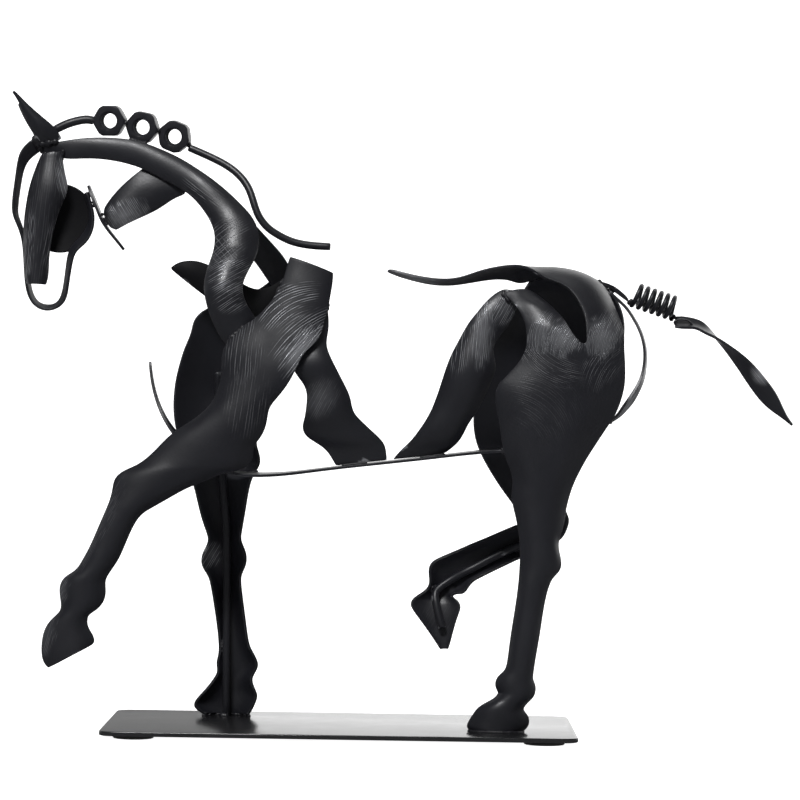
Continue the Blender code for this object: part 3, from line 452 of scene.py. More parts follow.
            # Painted highlight: a soft field of raw steel colour over the patch, partly rubbed-down paint,
            # partly a painted sheen where the light falls
            if grind.buffed_sheen:
                sheen_streaks = self.math("ADD", self.math("MULTIPLY", lines, PAINTED_SHEEN_LINES), PAINTED_SHEEN_GROUND)
                sheen_mask = self.math("MULTIPLY", self.math("MULTIPLY", fading, sheen_streaks), grind.buffed_sheen)
                bare_and_sheen = self.math("MAXIMUM", bare_and_sheen, sheen_mask)
        wear = self.nodes.new("ShaderNodeMix")
        wear.data_type = "RGBA"
        self.links.new(bare_and_sheen, wear.inputs["Factor"])
        self.links.new(shade.outputs[MIXED], wear.inputs[MIX_A])
        wear.inputs[MIX_B].default_value = BARE_AND_SHEEN
        self.links.new(wear.outputs[MIXED], self.shader.inputs["Base Color"])
        self.links.new(self.spread(bare_and_sheen, 0, 1, coat.metallic, 1), self.shader.inputs["Metallic"])
        self.links.new(rough, self.shader.inputs["Roughness"])
        self.shader.inputs["Specular IOR Level"].default_value = coat.specular
        bump = self.nodes.new("ShaderNodeBump")
        bump.inputs["Strength"].default_value = 1
        bump.inputs["Distance"].default_value = 1
        self.links.new(height, bump.inputs["Height"])
        self.links.new(bump.outputs[0], self.shader.inputs["Normal"])
        return self.material


def dress(piece: bpy.types.Object, material: bpy.types.Material) -> bpy.types.Object:
    """Gives a piece its material and its place on the frame.

    Args:
        piece: The piece.
        material: Its material.

    Returns:
        The piece.
    """
    piece.data.materials.clear()
    piece.data.materials.append(material)
    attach(piece, "root")
    LOG.info("%s: %d faces", piece.name, len(piece.data.polygons))
    return piece


# Sheets, rods and the spring, each finer than its frame node

# Points this near become one, and triangles this alike become a quad

SAME_POINT = 0.01 * MM
QUAD_FACE = math.radians(50)
QUAD_SHAPE = math.radians(65)

# The length of an edge that runs through the sheet's thickness

ACROSS_SHEET = (0.55 * MM, 1.35 * MM)


@dataclass
class SteelPiece:
    """A finer copy of a frame node of sheet or rod.

    Attributes:
        node: The frame node.
        levels: How often its faces are divided.
        dents: The depth of its soft dents, mm.
        dent_size: The size of those dents, mm.
        rim: How much its cut edges are broken, mm.
        crease: The angle from which an edge of the frame node stays an edge, degrees.
        corner: How sharp the corners of its outline stay, from 0 to 1.
        hoof: How sharp they stay below the height HOOF_TOP, from 0 to 1.
        rubbed: How far the paint is rubbed off its cut edges, from 0 to 1.
        swell: How much its faces are pushed out before they are divided, mm.
        finish: Its paint.
        grinds: Its patches of scratches.
    """

    node: str
    levels: int = 2
    dents: float = 0.25
    dent_size: float = 13
    rim: float = 0.14
    crease: float = 52
    corner: float = 0.35
    hoof: float = 0.35
    rubbed: float = 0.6
    swell: float = 0
    finish: Finish = Finish.SATIN
    grinds: tuple[Grind, ...] = ()

    def copy_node(self) -> bpy.types.Object:
        """A copy of the frame node with its loose triangles joined into quads.

        Returns:
            The copy.
        """
        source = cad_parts[self.node]
        piece = bpy.data.objects.new(self.node + "_steel", source.data.copy())
        bpy.context.scene.collection.objects.link(piece)
        named(piece, self.node + "_steel")
        pick(piece)
        bpy.ops.object.mode_set(mode="EDIT")
        bpy.ops.mesh.select_all(action="SELECT")
        bpy.ops.mesh.remove_doubles(threshold=SAME_POINT)
        bpy.ops.mesh.tris_convert_to_quads(face_threshold=QUAD_FACE, shape_threshold=QUAD_SHAPE)
        bpy.ops.mesh.normals_make_consistent(inside=False)
        if self.swell:
            bpy.ops.transform.shrink_fatten(value=self.swell * MM)
        bpy.ops.object.mode_set(mode="OBJECT")
        return piece

    def hold_edges(self, piece: bpy.types.Object) -> None:
        """Creases the cut edges, so that dividing the faces leaves them crisp.

        Args:
            piece: The copy.
        """
        mesh = bmesh.new()
        mesh.from_mesh(piece.data)
        layer = mesh.edges.layers.float.get("crease_edge") or mesh.edges.layers.float.new("crease_edge")
        for edge in mesh.edges:
            if len(edge.link_faces) == 2 and edge.calc_face_angle() > math.radians(self.crease):
                thick = ACROSS_SHEET[0] < edge.calc_length() < ACROSS_SHEET[1]
                held = self.hoof if edge.verts[0].co.z < HOOF_TOP else self.corner
                edge[layer] = held if thick else 1.0
        mesh.to_mesh(piece.data)
        mesh.free()

    def make(self) -> bpy.types.Object:
        """Builds, dresses and places the piece.

        Returns:
            The piece.
        """
        piece = self.copy_node()
        self.hold_edges(piece)
        divide = piece.modifiers.new("Divide", "SUBSURF")
        divide.levels = divide.render_levels = self.levels
        if self.dents:
            cloud = bpy.data.textures.new(self.node + "_dents", "CLOUDS")
            cloud.noise_scale = self.dent_size * MM
            cloud.noise_depth = 1
            push = piece.modifiers.new("Dents", "DISPLACE")
            push.texture = cloud
            push.texture_coords = "LOCAL"
            push.direction = "Y"
            push.strength = self.dents * MM
        soften = piece.modifiers.new("Rim", "BEVEL")
        soften.width = self.rim * MM
        soften.segments = 2
        soften.limit_method = "ANGLE"
        soften.angle_limit = math.radians(45)
        soften.use_clamp_overlap = True
        apply_all(piece)
        smooth_by_angle(piece)
        material = Paint(self.node + "_paint", self.finish).build(self.grinds, self.rubbed)
        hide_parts(self.node)
        return dress(piece, material)


# The patches' sheen below is partly a painted highlight, set where the light falls on the sheets
class ForeQuarters:
    """The two forelegs with their shoulder blades, and the far one's rod."""

    # The near foreleg wears the darker, rougher copy of the satin paint, a painted shade on its shoulder
    near: SteelPiece = SteelPiece("near_foreleg", corner=0.6, finish=Finish.SOFT, grinds=(
        Grind((-38, 139), (12, 7), 32, 0.8, 0.06, bow=21, worn=0.6),
        Grind((-32, 129), (13, 7), 40, 0.85, 0.07, bow=40, worn=0.6),
        Grind((-32.5, 124.5), (11, 5.5), 54, 0.8, 0.07, worn=0.95, buffed_sheen=0.75),
        Grind((-51, 124), (12, 7), 84, 0.8, 0.06, bow=90, worn=0.2),
        Grind((-50, 108), (13, 8), 82, 0.9, 0.04, worn=0.08),
        Grind((-98, 66), (22, 4.5), 62, 0.5, 0.03, worn=0.12, buffed_sheen=0.10),
        Grind((-110, 45), (7, 4), 60, 0.5, 0.03, worn=0.2, buffed_sheen=0.20),
        Grind((-113, 32), (9, 4), 74, 0.5, 0.03, worn=0.14, buffed_sheen=0.10),
    ))
    far: SteelPiece = SteelPiece("far_foreleg", hoof=0.6, grinds=(
        Grind((-63, 56), (5, 4), 60, 0.6, 0.05, worn=0.7, buffed_sheen=0.30),
    ))
    rod: SteelPiece = SteelPiece("foreleg_rod", dents=0, rim=0.1, swell=0.12)

    def make(self) -> None:
        """Makes the forequarters."""
        for piece in (self.near, self.far, self.rod):
            piece.make()


class HindQuarters:
    """The two hindlegs with their hips, the far one's rod and the strip behind the hips."""

    near: SteelPiece = SteelPiece("near_hindleg", corner=0, hoof=0.75, grinds=(
        Grind((44, 131), (8, 5), 78, 0.5, 0.06, bow=12, worn=0.8, buffed_sheen=0.35),
        Grind((51, 129.5), (7, 7), 62, 0.5, 0.06, bow=14, worn=0.95, buffed_sheen=0.65),
        Grind((64, 130.5), (9, 7), 74, 0.5, 0.06, bow=30, worn=0.95, buffed_sheen=0.60),
        Grind((47, 122), (14, 7), -34, 0.6, 0.04, bow=-20, worn=0.14),
        Grind((64, 121), (10, 7), 55, 0.6, 0.03, bow=20, worn=0.12),
        Grind((46, 108), (14, 12), -40, 0.7, 0.02, bow=18, worn=0.04),
        Grind((2, 149), (13, 3.5), -10, 0.7, 0.01, worn=0.05, buffed_sheen=0.35),
    ))
    far: SteelPiece = SteelPiece("far_hindleg", grinds=(
        Grind((13, 36), (9, 9), 60, 0.6, 0.01, worn=0.03),
    ))
    rod: SteelPiece = SteelPiece("hindleg_rod", dents=0, rim=0.1, swell=0.12)
    strip: SteelPiece = SteelPiece("buttock_strip", dents=0.1, grinds=(
        Grind((73, 109), (10, 4), 55, 0.6, 0.01, worn=0.1, buffed_sheen=0.45),
    ))

    def make(self) -> None:
        """Makes the hindquarters."""
        for piece in (self.near, self.far, self.rod, self.strip):
            piece.make()


class Trunk:
    """The belly strip and the two ribs."""

    belly: SteelPiece = SteelPiece("belly_strip", dents=0.12)
    front: SteelPiece = SteelPiece("front_rib", corner=0.9, grinds=(
        Grind((-27, 109), (9, 7), 62, 0.6, 0.02, worn=0.12, buffed_sheen=0.20),
    ))
    rear: SteelPiece = SteelPiece("rear_rib", corner=0.9, grinds=(
        Grind((25.5, 130), (13, 4), 86, 0.55, 0.06, worn=0.95, buffed_sheen=0.50),
        Grind((33, 139), (7, 5), 62, 0.5, 0.05, worn=0.7, buffed_sheen=0.20),
        Grind((18, 126), (10, 5), 84, 0.6, 0.05, worn=0.4),
    ))

    def make(self) -> None:
        """Makes the trunk."""
        for piece in (self.belly, self.front, self.rear):
            piece.make()


class Neck:
    """The neck's two bands, the breast strap and the throat."""

    near: SteelPiece = SteelPiece("near_neck", grinds=(
        Grind((-58, 160), (9, 7), 38, 0.8, 0.06, bow=60, worn=0.3),
        Grind((-60, 155), (8, 6), -48, 0.8, 0.05, worn=0.28),
        Grind((-56, 148), (8, 8), 30, 0.6, 0.06, worn=0.7, buffed_sheen=0.10),
        Grind((-56, 141), (6, 6), 34, 0.6, 0.05, worn=0.5),
        Grind((-66, 176), (9, 5), -38, 0.7, 0.03, worn=0.08),
    ))
    far: SteelPiece = SteelPiece("far_neck")
    # The breast strap wears the near black dull coat, a painted shade for the shadow it lies in
    breast: SteelPiece = SteelPiece("breast_strap", dents=0.1, finish=Finish.MATT_SHADE)
    throat: SteelPiece = SteelPiece("throat_strip", grinds=(
        Grind((-92, 166), (7, 10), -58, 0.55, 0.05, worn=0.95, buffed_sheen=0.75),
    ))
    blade: SteelPiece = SteelPiece("throat_blade", dents=0.05)

    def make(self) -> None:
        """Makes the neck."""
        for piece in (self.near, self.far, self.breast, self.throat, self.blade):
            piece.make()


class Head:
    """Face plate, cheek disc, outline bar and ears."""

    face: SteelPiece = SteelPiece("face_plate", dents=0.1, grinds=(
        Grind((-118, 168), (30, 9), 84, 0.7, 0.03, worn=0.07),
        Grind((-111, 178), (10, 3), 104, 0.5, 0.06, worn=0.95, buffed_sheen=0.75),
        Grind((-123, 155), (16, 2.5), 84, 0.5, 0.06, worn=0.8),
        Grind((-115, 158), (10, 3), 80, 0.6, 0.05, worn=0.4),
    ))
    # The cheek disc wears the same near black dull coat, darker than the satin paint
    disc: SteelPiece = SteelPiece("cheek_disc", dents=0.05, finish=Finish.MATT_SHADE)
    bar: SteelPiece = SteelPiece("head_bar", dents=0.08)
    near_ear: SteelPiece = SteelPiece("near_ear", dents=0.06)
    far_ear: SteelPiece = SteelPiece("far_ear", dents=0.06)

    def make(self) -> None:
        """Makes the head."""
        for piece in (self.face, self.disc, self.bar, self.near_ear, self.far_ear):
            piece.make()


@dataclass
class MachineNut:
    """A hexagon nut with chamfered corners and a threaded bore.

    Attributes:
        node: The frame node that it stands for.
        turn: How far its first corner is turned from +X, degrees.
        flats: Its width across the flats.
        bore: The diameter of its bore.
        thread: The pitch of its thread.
        tipped: How far it is tipped about X and turned about Z, degrees.
        face: The radius of its round face, as a share of its corners' radius.
        barrel: The radius that its corners are trimmed to, as the same share.
        chamfer: The height of that trimming.
        sink: The depth of the countersink of its bore.
        flare: How much wider than the bore the countersinking tool is, 1 mm off the face.
        ridge: The radius of the thread's ridge.
        lead: How far from a face the thread starts.
    """

    node: str
    turn: float
    flats: float = 9.8
    bore: float = 5.3
    thread: float = 0.8
    tipped: tuple[float, float] = (5, -8)
    face: float = 0.86
    barrel: float = 0.93
    chamfer: float = 0.32
    sink: float = 0.42
    flare: float = 1.45
    ridge: float = 0.30
    lead: float = 0.55

    def make(self) -> bpy.types.Object:
        """Builds the nut in place of its node.

        Returns:
            The nut.
        """
        low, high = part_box(self.node)
        centre = (low + high) / 2
        depth = high.y - low.y
        corner = self.flats / math.sqrt(3) * MM
        deselect()
        bpy.ops.mesh.primitive_cylinder_add(vertices=6, radius=corner, depth=depth,
                                            rotation=(0, 0, math.pi / 2))
        nut = named(bpy.context.object, self.node + "_hexagon")
        settle(nut)
        face, trimmed, shoulder = corner * self.face, corner * self.barrel, self.chamfer * MM
        barrel = self.turned("barrel", (
            (0.0, depth / 2), (face, depth / 2), (trimmed, depth / 2 - shoulder),
            (trimmed, -depth / 2 + shoulder), (face, -depth / 2), (0.0, -depth / 2)))
        self.combine(nut, barrel, "INTERSECT")
        inner, sink = self.bore / 2 * MM, self.sink * MM
        flared = inner + self.flare * MM
        hole = self.turned("hole", (
            (0.0, depth / 2 + MM), (flared, depth / 2 + MM), (inner, depth / 2 - sink),
            (inner, -depth / 2 + sink), (flared, -depth / 2 - MM), (0.0, -depth / 2 - MM)))
        self.combine(nut, hole, "DIFFERENCE")
        soften = nut.modifiers.new("Edges", "BEVEL")
        soften.width = 0.1 * MM
        soften.segments = 2
        soften.limit_method = "ANGLE"
        soften.angle_limit = math.radians(25)
        apply_all(nut)
        ridge = self.thread_ridge(depth, inner)
        pick(nut, ridge)
        bpy.ops.object.join()
        nut.rotation_euler = (math.pi / 2, 0, 0)
        settle(nut)
        nut.rotation_euler = (0, -math.radians(self.turn), 0)
        settle(nut)
        nut.rotation_euler = (math.radians(self.tipped[0]), 0, math.radians(self.tipped[1]))
        nut.location = centre
        settle(nut)
        smooth_by_angle(nut, 28)
        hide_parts(self.node)
        return dress(nut, Paint(self.node + "_paint", Finish.SATIN).build())

    def turned(self, name: str, profile: tuple[tuple[float, float], ...]) -> bpy.types.Object:
        """A turned body about Z.

        Args:
            name: Its name.
            profile: Radius and height of each corner, from the axis round to the axis.

        Returns:
            The body.
        """
        deselect()
        bpy.ops.mesh.primitive_plane_add(size=MM)
        body = named(bpy.context.object, name)
        mesh = bmesh.new()
        corners = [mesh.verts.new((radius, 0, height)) for radius, height in profile]
        for a, b in zip(corners, corners[1:]):
            mesh.edges.new((a, b))
        mesh.to_mesh(body.data)
        mesh.free()
        pick(body)
        bpy.ops.object.mode_set(mode="EDIT")
        bpy.ops.mesh.select_all(action="SELECT")
        bpy.ops.mesh.spin(steps=64, angle=2 * math.pi, center=(0, 0, 0), axis=(0, 0, 1))
        bpy.ops.object.mode_set(mode="OBJECT")
        close_up(body, 0.002 * MM)
        return body

    def combine(self, nut: bpy.types.Object, tool: bpy.types.Object, operation: str) -> None:
        """Cuts or trims the nut with a tool, which is then thrown away.

        Args:
            nut: The nut.
            tool: The other body.
            operation: INTERSECT or DIFFERENCE.
        """
        cut = nut.modifiers.new("Cut", "BOOLEAN")
        cut.operation = operation
        cut.object = tool
        cut.solver = "EXACT"
        apply_all(nut)
        bpy.data.objects.remove(tool, do_unlink=True)

    def thread_ridge(self, depth: float, inner: float) -> bpy.types.Object:
        """The thread as a ridge wound along the bore.

        Args:
            depth: The nut's thickness, m.
            inner: The bore's radius, m.

        Returns:
            The ridge.
        """
        deselect()
        start = (inner + 0.08 * MM, 0, -depth / 2 + self.lead * MM)
        bpy.ops.mesh.primitive_circle_add(vertices=3, radius=self.ridge * MM, location=start,
                                          rotation=(math.pi / 2, 0, 0), fill_type="NGON")
        ridge = named(bpy.context.object, "thread")
        settle(ridge)
        turns = (depth - 2 * self.lead * MM) / (self.thread * MM)
        wind = ridge.modifiers.new("Wind", "SCREW")
        wind.angle = 2 * math.pi * turns
        wind.screw_offset = self.thread * MM * turns
        wind.steps = wind.render_steps = round(28 * turns)
        wind.merge_threshold = 0.0001 * MM
        apply_all(ridge)
        close_up(ridge)
        return ridge


class Mane:
    """Three nuts in a chain between two rods."""

    nuts: tuple[MachineNut, ...] = (
        MachineNut("mane_nut_1", 0), MachineNut("mane_nut_2", -12), MachineNut("mane_nut_3", -22),
    )
    rods: tuple[SteelPiece, ...] = (
        SteelPiece("mane_rod_front", dents=0.1, rim=0.1, swell=0.4),
        SteelPiece("mane_rod_back", dents=0.1, rim=0.1, swell=0.22),
    )

    def make(self) -> None:
        """Makes the mane."""
        for part in (*self.nuts, *self.rods):
            part.make()


@dataclass
class CoilSpring:
    """A spring of round wire, wound along a slanting axis.

    Attributes:
        node: The frame node that it stands for.
        start: Where its axis starts, x and z, mm.
        lean: The axis's slope from +X, degrees.
        wire: The wire's thickness.
        width: Its outer width.
        pitch: The rise of one turn.
        turns: Its number of turns.
        sides: The wire's number of sides.
        steps: The number of steps in a turn.
    """

    node: str
    start: tuple[float, float] = (75.4, 144.3)
    lean: float = -18
    wire: float = 1.5
    width: float = 8.6
    pitch: float = 2.3
    turns: float = 6
    sides: int = 12
    steps: int = 40

    def make(self) -> bpy.types.Object:
        """Winds the spring.

        Returns:
            The spring.
        """
        deselect()
        radius = (self.width - self.wire) / 2
        bpy.ops.mesh.primitive_circle_add(vertices=self.sides, radius=self.wire / 2 * MM,
                                          location=(radius * MM, 0, 0), rotation=(math.pi / 2, 0, 0),
                                          fill_type="NGON")
        spring = named(bpy.context.object, self.node + "_steel")
        settle(spring)
        wind = spring.modifiers.new("Wind", "SCREW")
        wind.angle = -2 * math.pi * self.turns
        wind.screw_offset = self.pitch * self.turns * MM
        wind.steps = wind.render_steps = round(self.steps * self.turns)
        apply_all(spring)
        close_up(spring, 0.005 * MM)
        spring.rotation_euler = (0, math.radians(90 - self.lean), 0)
        spring.location = (self.start[0] * MM, 0, self.start[1] * MM)
        settle(spring)
        smooth_by_angle(spring)
        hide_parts(self.node)
        return dress(spring, Paint(self.node + "_paint", Finish.SATIN).build())


class Tail:
    """The root strap, the spring and the twisted blade."""

    root: SteelPiece = SteelPiece("tail_root", dents=0)
    spring: CoilSpring = CoilSpring("tail_spring")
    blade: SteelPiece = SteelPiece("tail_blade", dents=0.1, grinds=(
        Grind((116.5, 118.5), (4.5, 3), -50, 0.5, 0.01, worn=0.3, buffed_sheen=0.85),
    ))

    eye_at: tuple[float, float] = (91.2, 135.2)
    eye_width: float = 6.4
    eye_wire: float = 1.0
    eye_turn: float = 8
    eye_flat: float = 0.5

    def eye(self) -> bpy.types.Object:
        """The flat eye at the end of the spring's wire, which lies on the blade.

        Returns:
            The eye.
        """
        x, z = self.eye_at[0] * MM, self.eye_at[1] * MM
        hit, _, _, _ = tree_of(self.blade.node).ray_cast(Vector((x, -0.2, z)), Vector((0, 1, 0)))
        depth = hit.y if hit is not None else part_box(self.blade.node)[0].y
        deselect()
        bpy.ops.mesh.primitive_torus_add(major_radius=(self.eye_width - self.eye_wire) / 2 * MM,
                                         minor_radius=self.eye_wire / 2 * MM,
                                         major_segments=40, minor_segments=12)
        eye = named(bpy.context.object, "tail_spring_eye")
        eye.rotation_euler = (math.pi / 2, 0, 0)
        settle(eye)
        eye.scale = (1, 1, self.eye_flat)
        settle(eye)
        eye.rotation_euler = (0, math.radians(self.eye_turn), 0)
        eye.location = (x, depth - self.eye_wire / 2 * MM, z)
        settle(eye)
        smooth_by_angle(eye)
        return dress(eye, Paint("tail_eye_paint", Finish.SATIN).build())

    def make(self) -> None:
        """Makes the tail."""
        for part in (self.root, self.spring, self.blade):
            part.make()
        self.eye()


@dataclass
class Base:
    """The base plate and its rubber pads.

    Attributes:
        edge: How much the plate's edges are rounded, mm.
        pad_edge: How much a pad's edges are rounded, mm.
    """

    edge: float = 0.3
    pad_edge: float = 0.25

    def rounded(self, node: str, name: str, width: float) -> bpy.types.Object:
        """A copy of a frame node with rounded edges.

        Args:
            node: The frame node.
            name: The copy's name.
            width: The rounding, mm.

        Returns:
            The copy.
        """
        piece = SteelPiece(node).copy_node()
        named(piece, name)
        pick(piece)
        bpy.ops.object.mode_set(mode="EDIT")
        bpy.ops.mesh.select_all(action="SELECT")
        bpy.ops.mesh.dissolve_limited(angle_limit=math.radians(2))
        bpy.ops.object.mode_set(mode="OBJECT")
        soften = piece.modifiers.new("Edge", "BEVEL")
        soften.width = width * MM
        soften.segments = 3
        soften.limit_method = "ANGLE"
        soften.angle_limit = math.radians(50)
        apply_all(piece)
        smooth_by_angle(piece, 35)
        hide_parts(node)
        return piece

    def make(self) -> None:
        """Makes the plate and the pads."""
        plate = self.rounded("base_plate", "base_plate_steel", self.edge)
        dress(plate, Paint("base_plate_paint", Finish.GLOSS).build())
        for corner in ("front_near", "front_far", "back_near", "back_far"):
            node = "base_pad_" + corner
            pad = self.rounded(node, node + "_foot", self.pad_edge)
            dress(pad, Paint(node + "_rubber", Finish.RUBBER).build())


@dataclass(frozen=True)
class Joint:
    """Two pieces that a bead of weld joins.

    Attributes:
        name: The bead's name.
        a: The piece whose edge is welded.
        b: The piece that it is welded to.
        bead: The radius of a bead's drops, mm.
        reach: How near the two are where they are welded, mm.
        most: The greatest number of drops.
    """

    name: str
    a: str
    b: str
    bead: float = 0.75
    reach: float = 1.3
    most: int = 14


class Welds:
    """The beads between the pieces.

    Attributes:
        step: How far apart an edge is searched, m.
        spacing: How far apart the drops are, in radii of the bead.
        uneven: How much their size varies, as a share.
        lumpy: How fast that changes from place to place, 1/m.
        voxel: The grain at which they run together, m.
        melt: How often a bead of 1 mm is smoothed.
        joints: Where the beads are.
    """

    step: float = 0.5 * MM
    spacing: float = 0.75
    uneven: float = 0.35
    lumpy: float = 900
    voxel: float = 0.16 * MM
    melt: float = 22
    joints: tuple[Joint, ...] = (
        Joint("weld_neck_shoulder", "near_neck", "near_foreleg", 0.9, 1.6, 16),
        Joint("weld_neck_bands", "far_neck", "near_neck", 0.7, 1.3, 10),
        Joint("weld_far_shoulder", "far_neck", "far_foreleg", 0.8, 1.3, 10),
        Joint("weld_breast", "breast_strap", "near_foreleg", 0.8, 1.7, 10),
        Joint("weld_front_rib", "front_rib", "near_foreleg", 0.8, 1.2, 12),
        Joint("weld_front_rib_foot", "front_rib", "belly_strip", 0.6, 1.0, 16),
        Joint("weld_rear_rib", "rear_rib", "near_hindleg", 0.8, 1.2, 12),
        Joint("weld_rear_rib_foot", "rear_rib", "belly_strip", 0.6, 1.0, 16),
        Joint("weld_belly_near_shoulder", "belly_strip", "near_foreleg", 0.8, 1.7, 8),
        Joint("weld_belly_far_shoulder", "belly_strip", "far_foreleg", 0.8, 1.5, 8),
        Joint("weld_belly_near_thigh", "belly_strip", "near_hindleg", 0.8, 1.7, 8),
        Joint("weld_belly_far_thigh", "belly_strip", "far_hindleg", 0.8, 2.2, 8),
        Joint("weld_rump", "far_hindleg", "near_hindleg", 0.75, 1.3, 18),
        Joint("weld_foreleg_rod", "foreleg_rod", "far_foreleg", 0.8, 0.9, 10),
        Joint("weld_foreleg_rod_foot", "foreleg_rod", "base_plate", 1.1, 0.9, 6),
        Joint("weld_hindleg_rod", "hindleg_rod", "far_hindleg", 0.8, 0.9, 10),
        Joint("weld_near_hoof", "near_hindleg", "base_plate", 0.6, 1.0, 60),
        Joint("weld_far_hoof", "far_foreleg", "base_plate", 0.6, 1.0, 60),
        Joint("weld_buttock", "buttock_strip", "near_hindleg", 0.7, 1.3, 6),
        Joint("weld_buttock_top", "buttock_strip", "tail_root", 0.6, 1.2, 4),
        Joint("weld_tail_root", "tail_root", "near_hindleg", 0.6, 1.6, 6),
        Joint("weld_spring", "tail_spring", "tail_root", 0.95, 2.4, 4),
        Joint("weld_tail_blade", "tail_spring", "tail_blade", 0.6, 1.3, 4),
        Joint("weld_face", "face_plate", "near_neck", 0.7, 1.2, 6),
        Joint("weld_near_ear", "near_ear", "near_neck", 1.4, 1.6, 3),
        Joint("weld_far_ear", "far_ear", "near_neck", 1.4, 1.6, 1),
        Joint("weld_head_bar", "head_bar", "near_neck", 1.4, 2.2, 2),
        Joint("weld_poll", "head_bar", "near_ear", 1.6, 2.6, 2),
        Joint("weld_cheek", "cheek_disc", "head_bar", 0.6, 1.1, 6),
        Joint("weld_jaw", "throat_blade", "head_bar", 0.6, 1.1, 4),
        Joint("weld_throat", "throat_strip", "near_neck", 0.7, 1.1, 10),
        Joint("weld_throat_blade", "throat_blade", "throat_strip", 0.6, 1.1, 6),
        Joint("weld_mane_front", "mane_rod_front", "mane_nut_1", 0.7, 0.9, 5),
        Joint("weld_nut_1_2", "mane_nut_1", "mane_nut_2", 0.7, 1.0, 5),
        Joint("weld_nut_2_3", "mane_nut_2", "mane_nut_3", 0.7, 1.0, 5),
        Joint("weld_nut_crest", "mane_nut_2", "near_neck", 0.8, 1.4, 6),
        Joint("weld_mane_back", "mane_rod_back", "mane_nut_3", 0.7, 1.2, 5),
        Joint("weld_mane_crest", "mane_rod_back", "near_neck", 0.8, 1.3, 6),
    )

    def drops(self, joint: Joint) -> list[Vector]:
        """Where the drops of a bead go: between the two pieces, where they are nearest.

        Args:
            joint: The joint.

        Returns:
            The drops' middles.
        """
        other = tree_of(joint.b)
        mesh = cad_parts[joint.a].data
        found = []
        for edge in mesh.edges:
            a, b = (mesh.vertices[i].co for i in edge.vertices)
            steps = max(1, round((b - a).length / self.step))
            for i in range(steps + 1):
                p = a.lerp(b, i / steps)
                hit, _, _, distance = other.find_nearest(p, joint.reach * MM)
                if hit is not None:
                    found.append((distance, (p + hit) / 2))
        found.sort(key=lambda item: item[0])
        apart = joint.bead * self.spacing * MM
        kept: list[Vector] = []
        for _, p in found:
            if len(kept) < joint.most and all((p - q).length > apart for q in kept):
                kept.append(p)
        return kept

    def make(self) -> None:
        """Runs every bead."""
        material = Paint("weld_paint", Finish.WELD).build()
        for joint in self.joints:
            places = self.drops(joint)
            if not places:
                LOG.warning("%s has nowhere to go", joint.name)
                continue
            lumps = []
            for place in places:
                size = joint.bead * (1 + self.uneven * noise.noise(place * self.lumpy)) * MM
                deselect()
                bpy.ops.mesh.primitive_ico_sphere_add(subdivisions=2, radius=size, location=place)
                lumps.append(bpy.context.object)
            pick(*lumps)
            if len(lumps) > 1:
                bpy.ops.object.join()
            bead = named(bpy.context.object, joint.name)
            settle(bead)
            blend = bead.modifiers.new("Blend", "REMESH")
            blend.mode = "VOXEL"
            blend.voxel_size = self.voxel
            ease = bead.modifiers.new("Ease", "SMOOTH")
            ease.factor = 0.6
            ease.iterations = round(self.melt * joint.bead)
            apply_all(bead)
            smooth_by_angle(bead, 80)
            dress(bead, material)


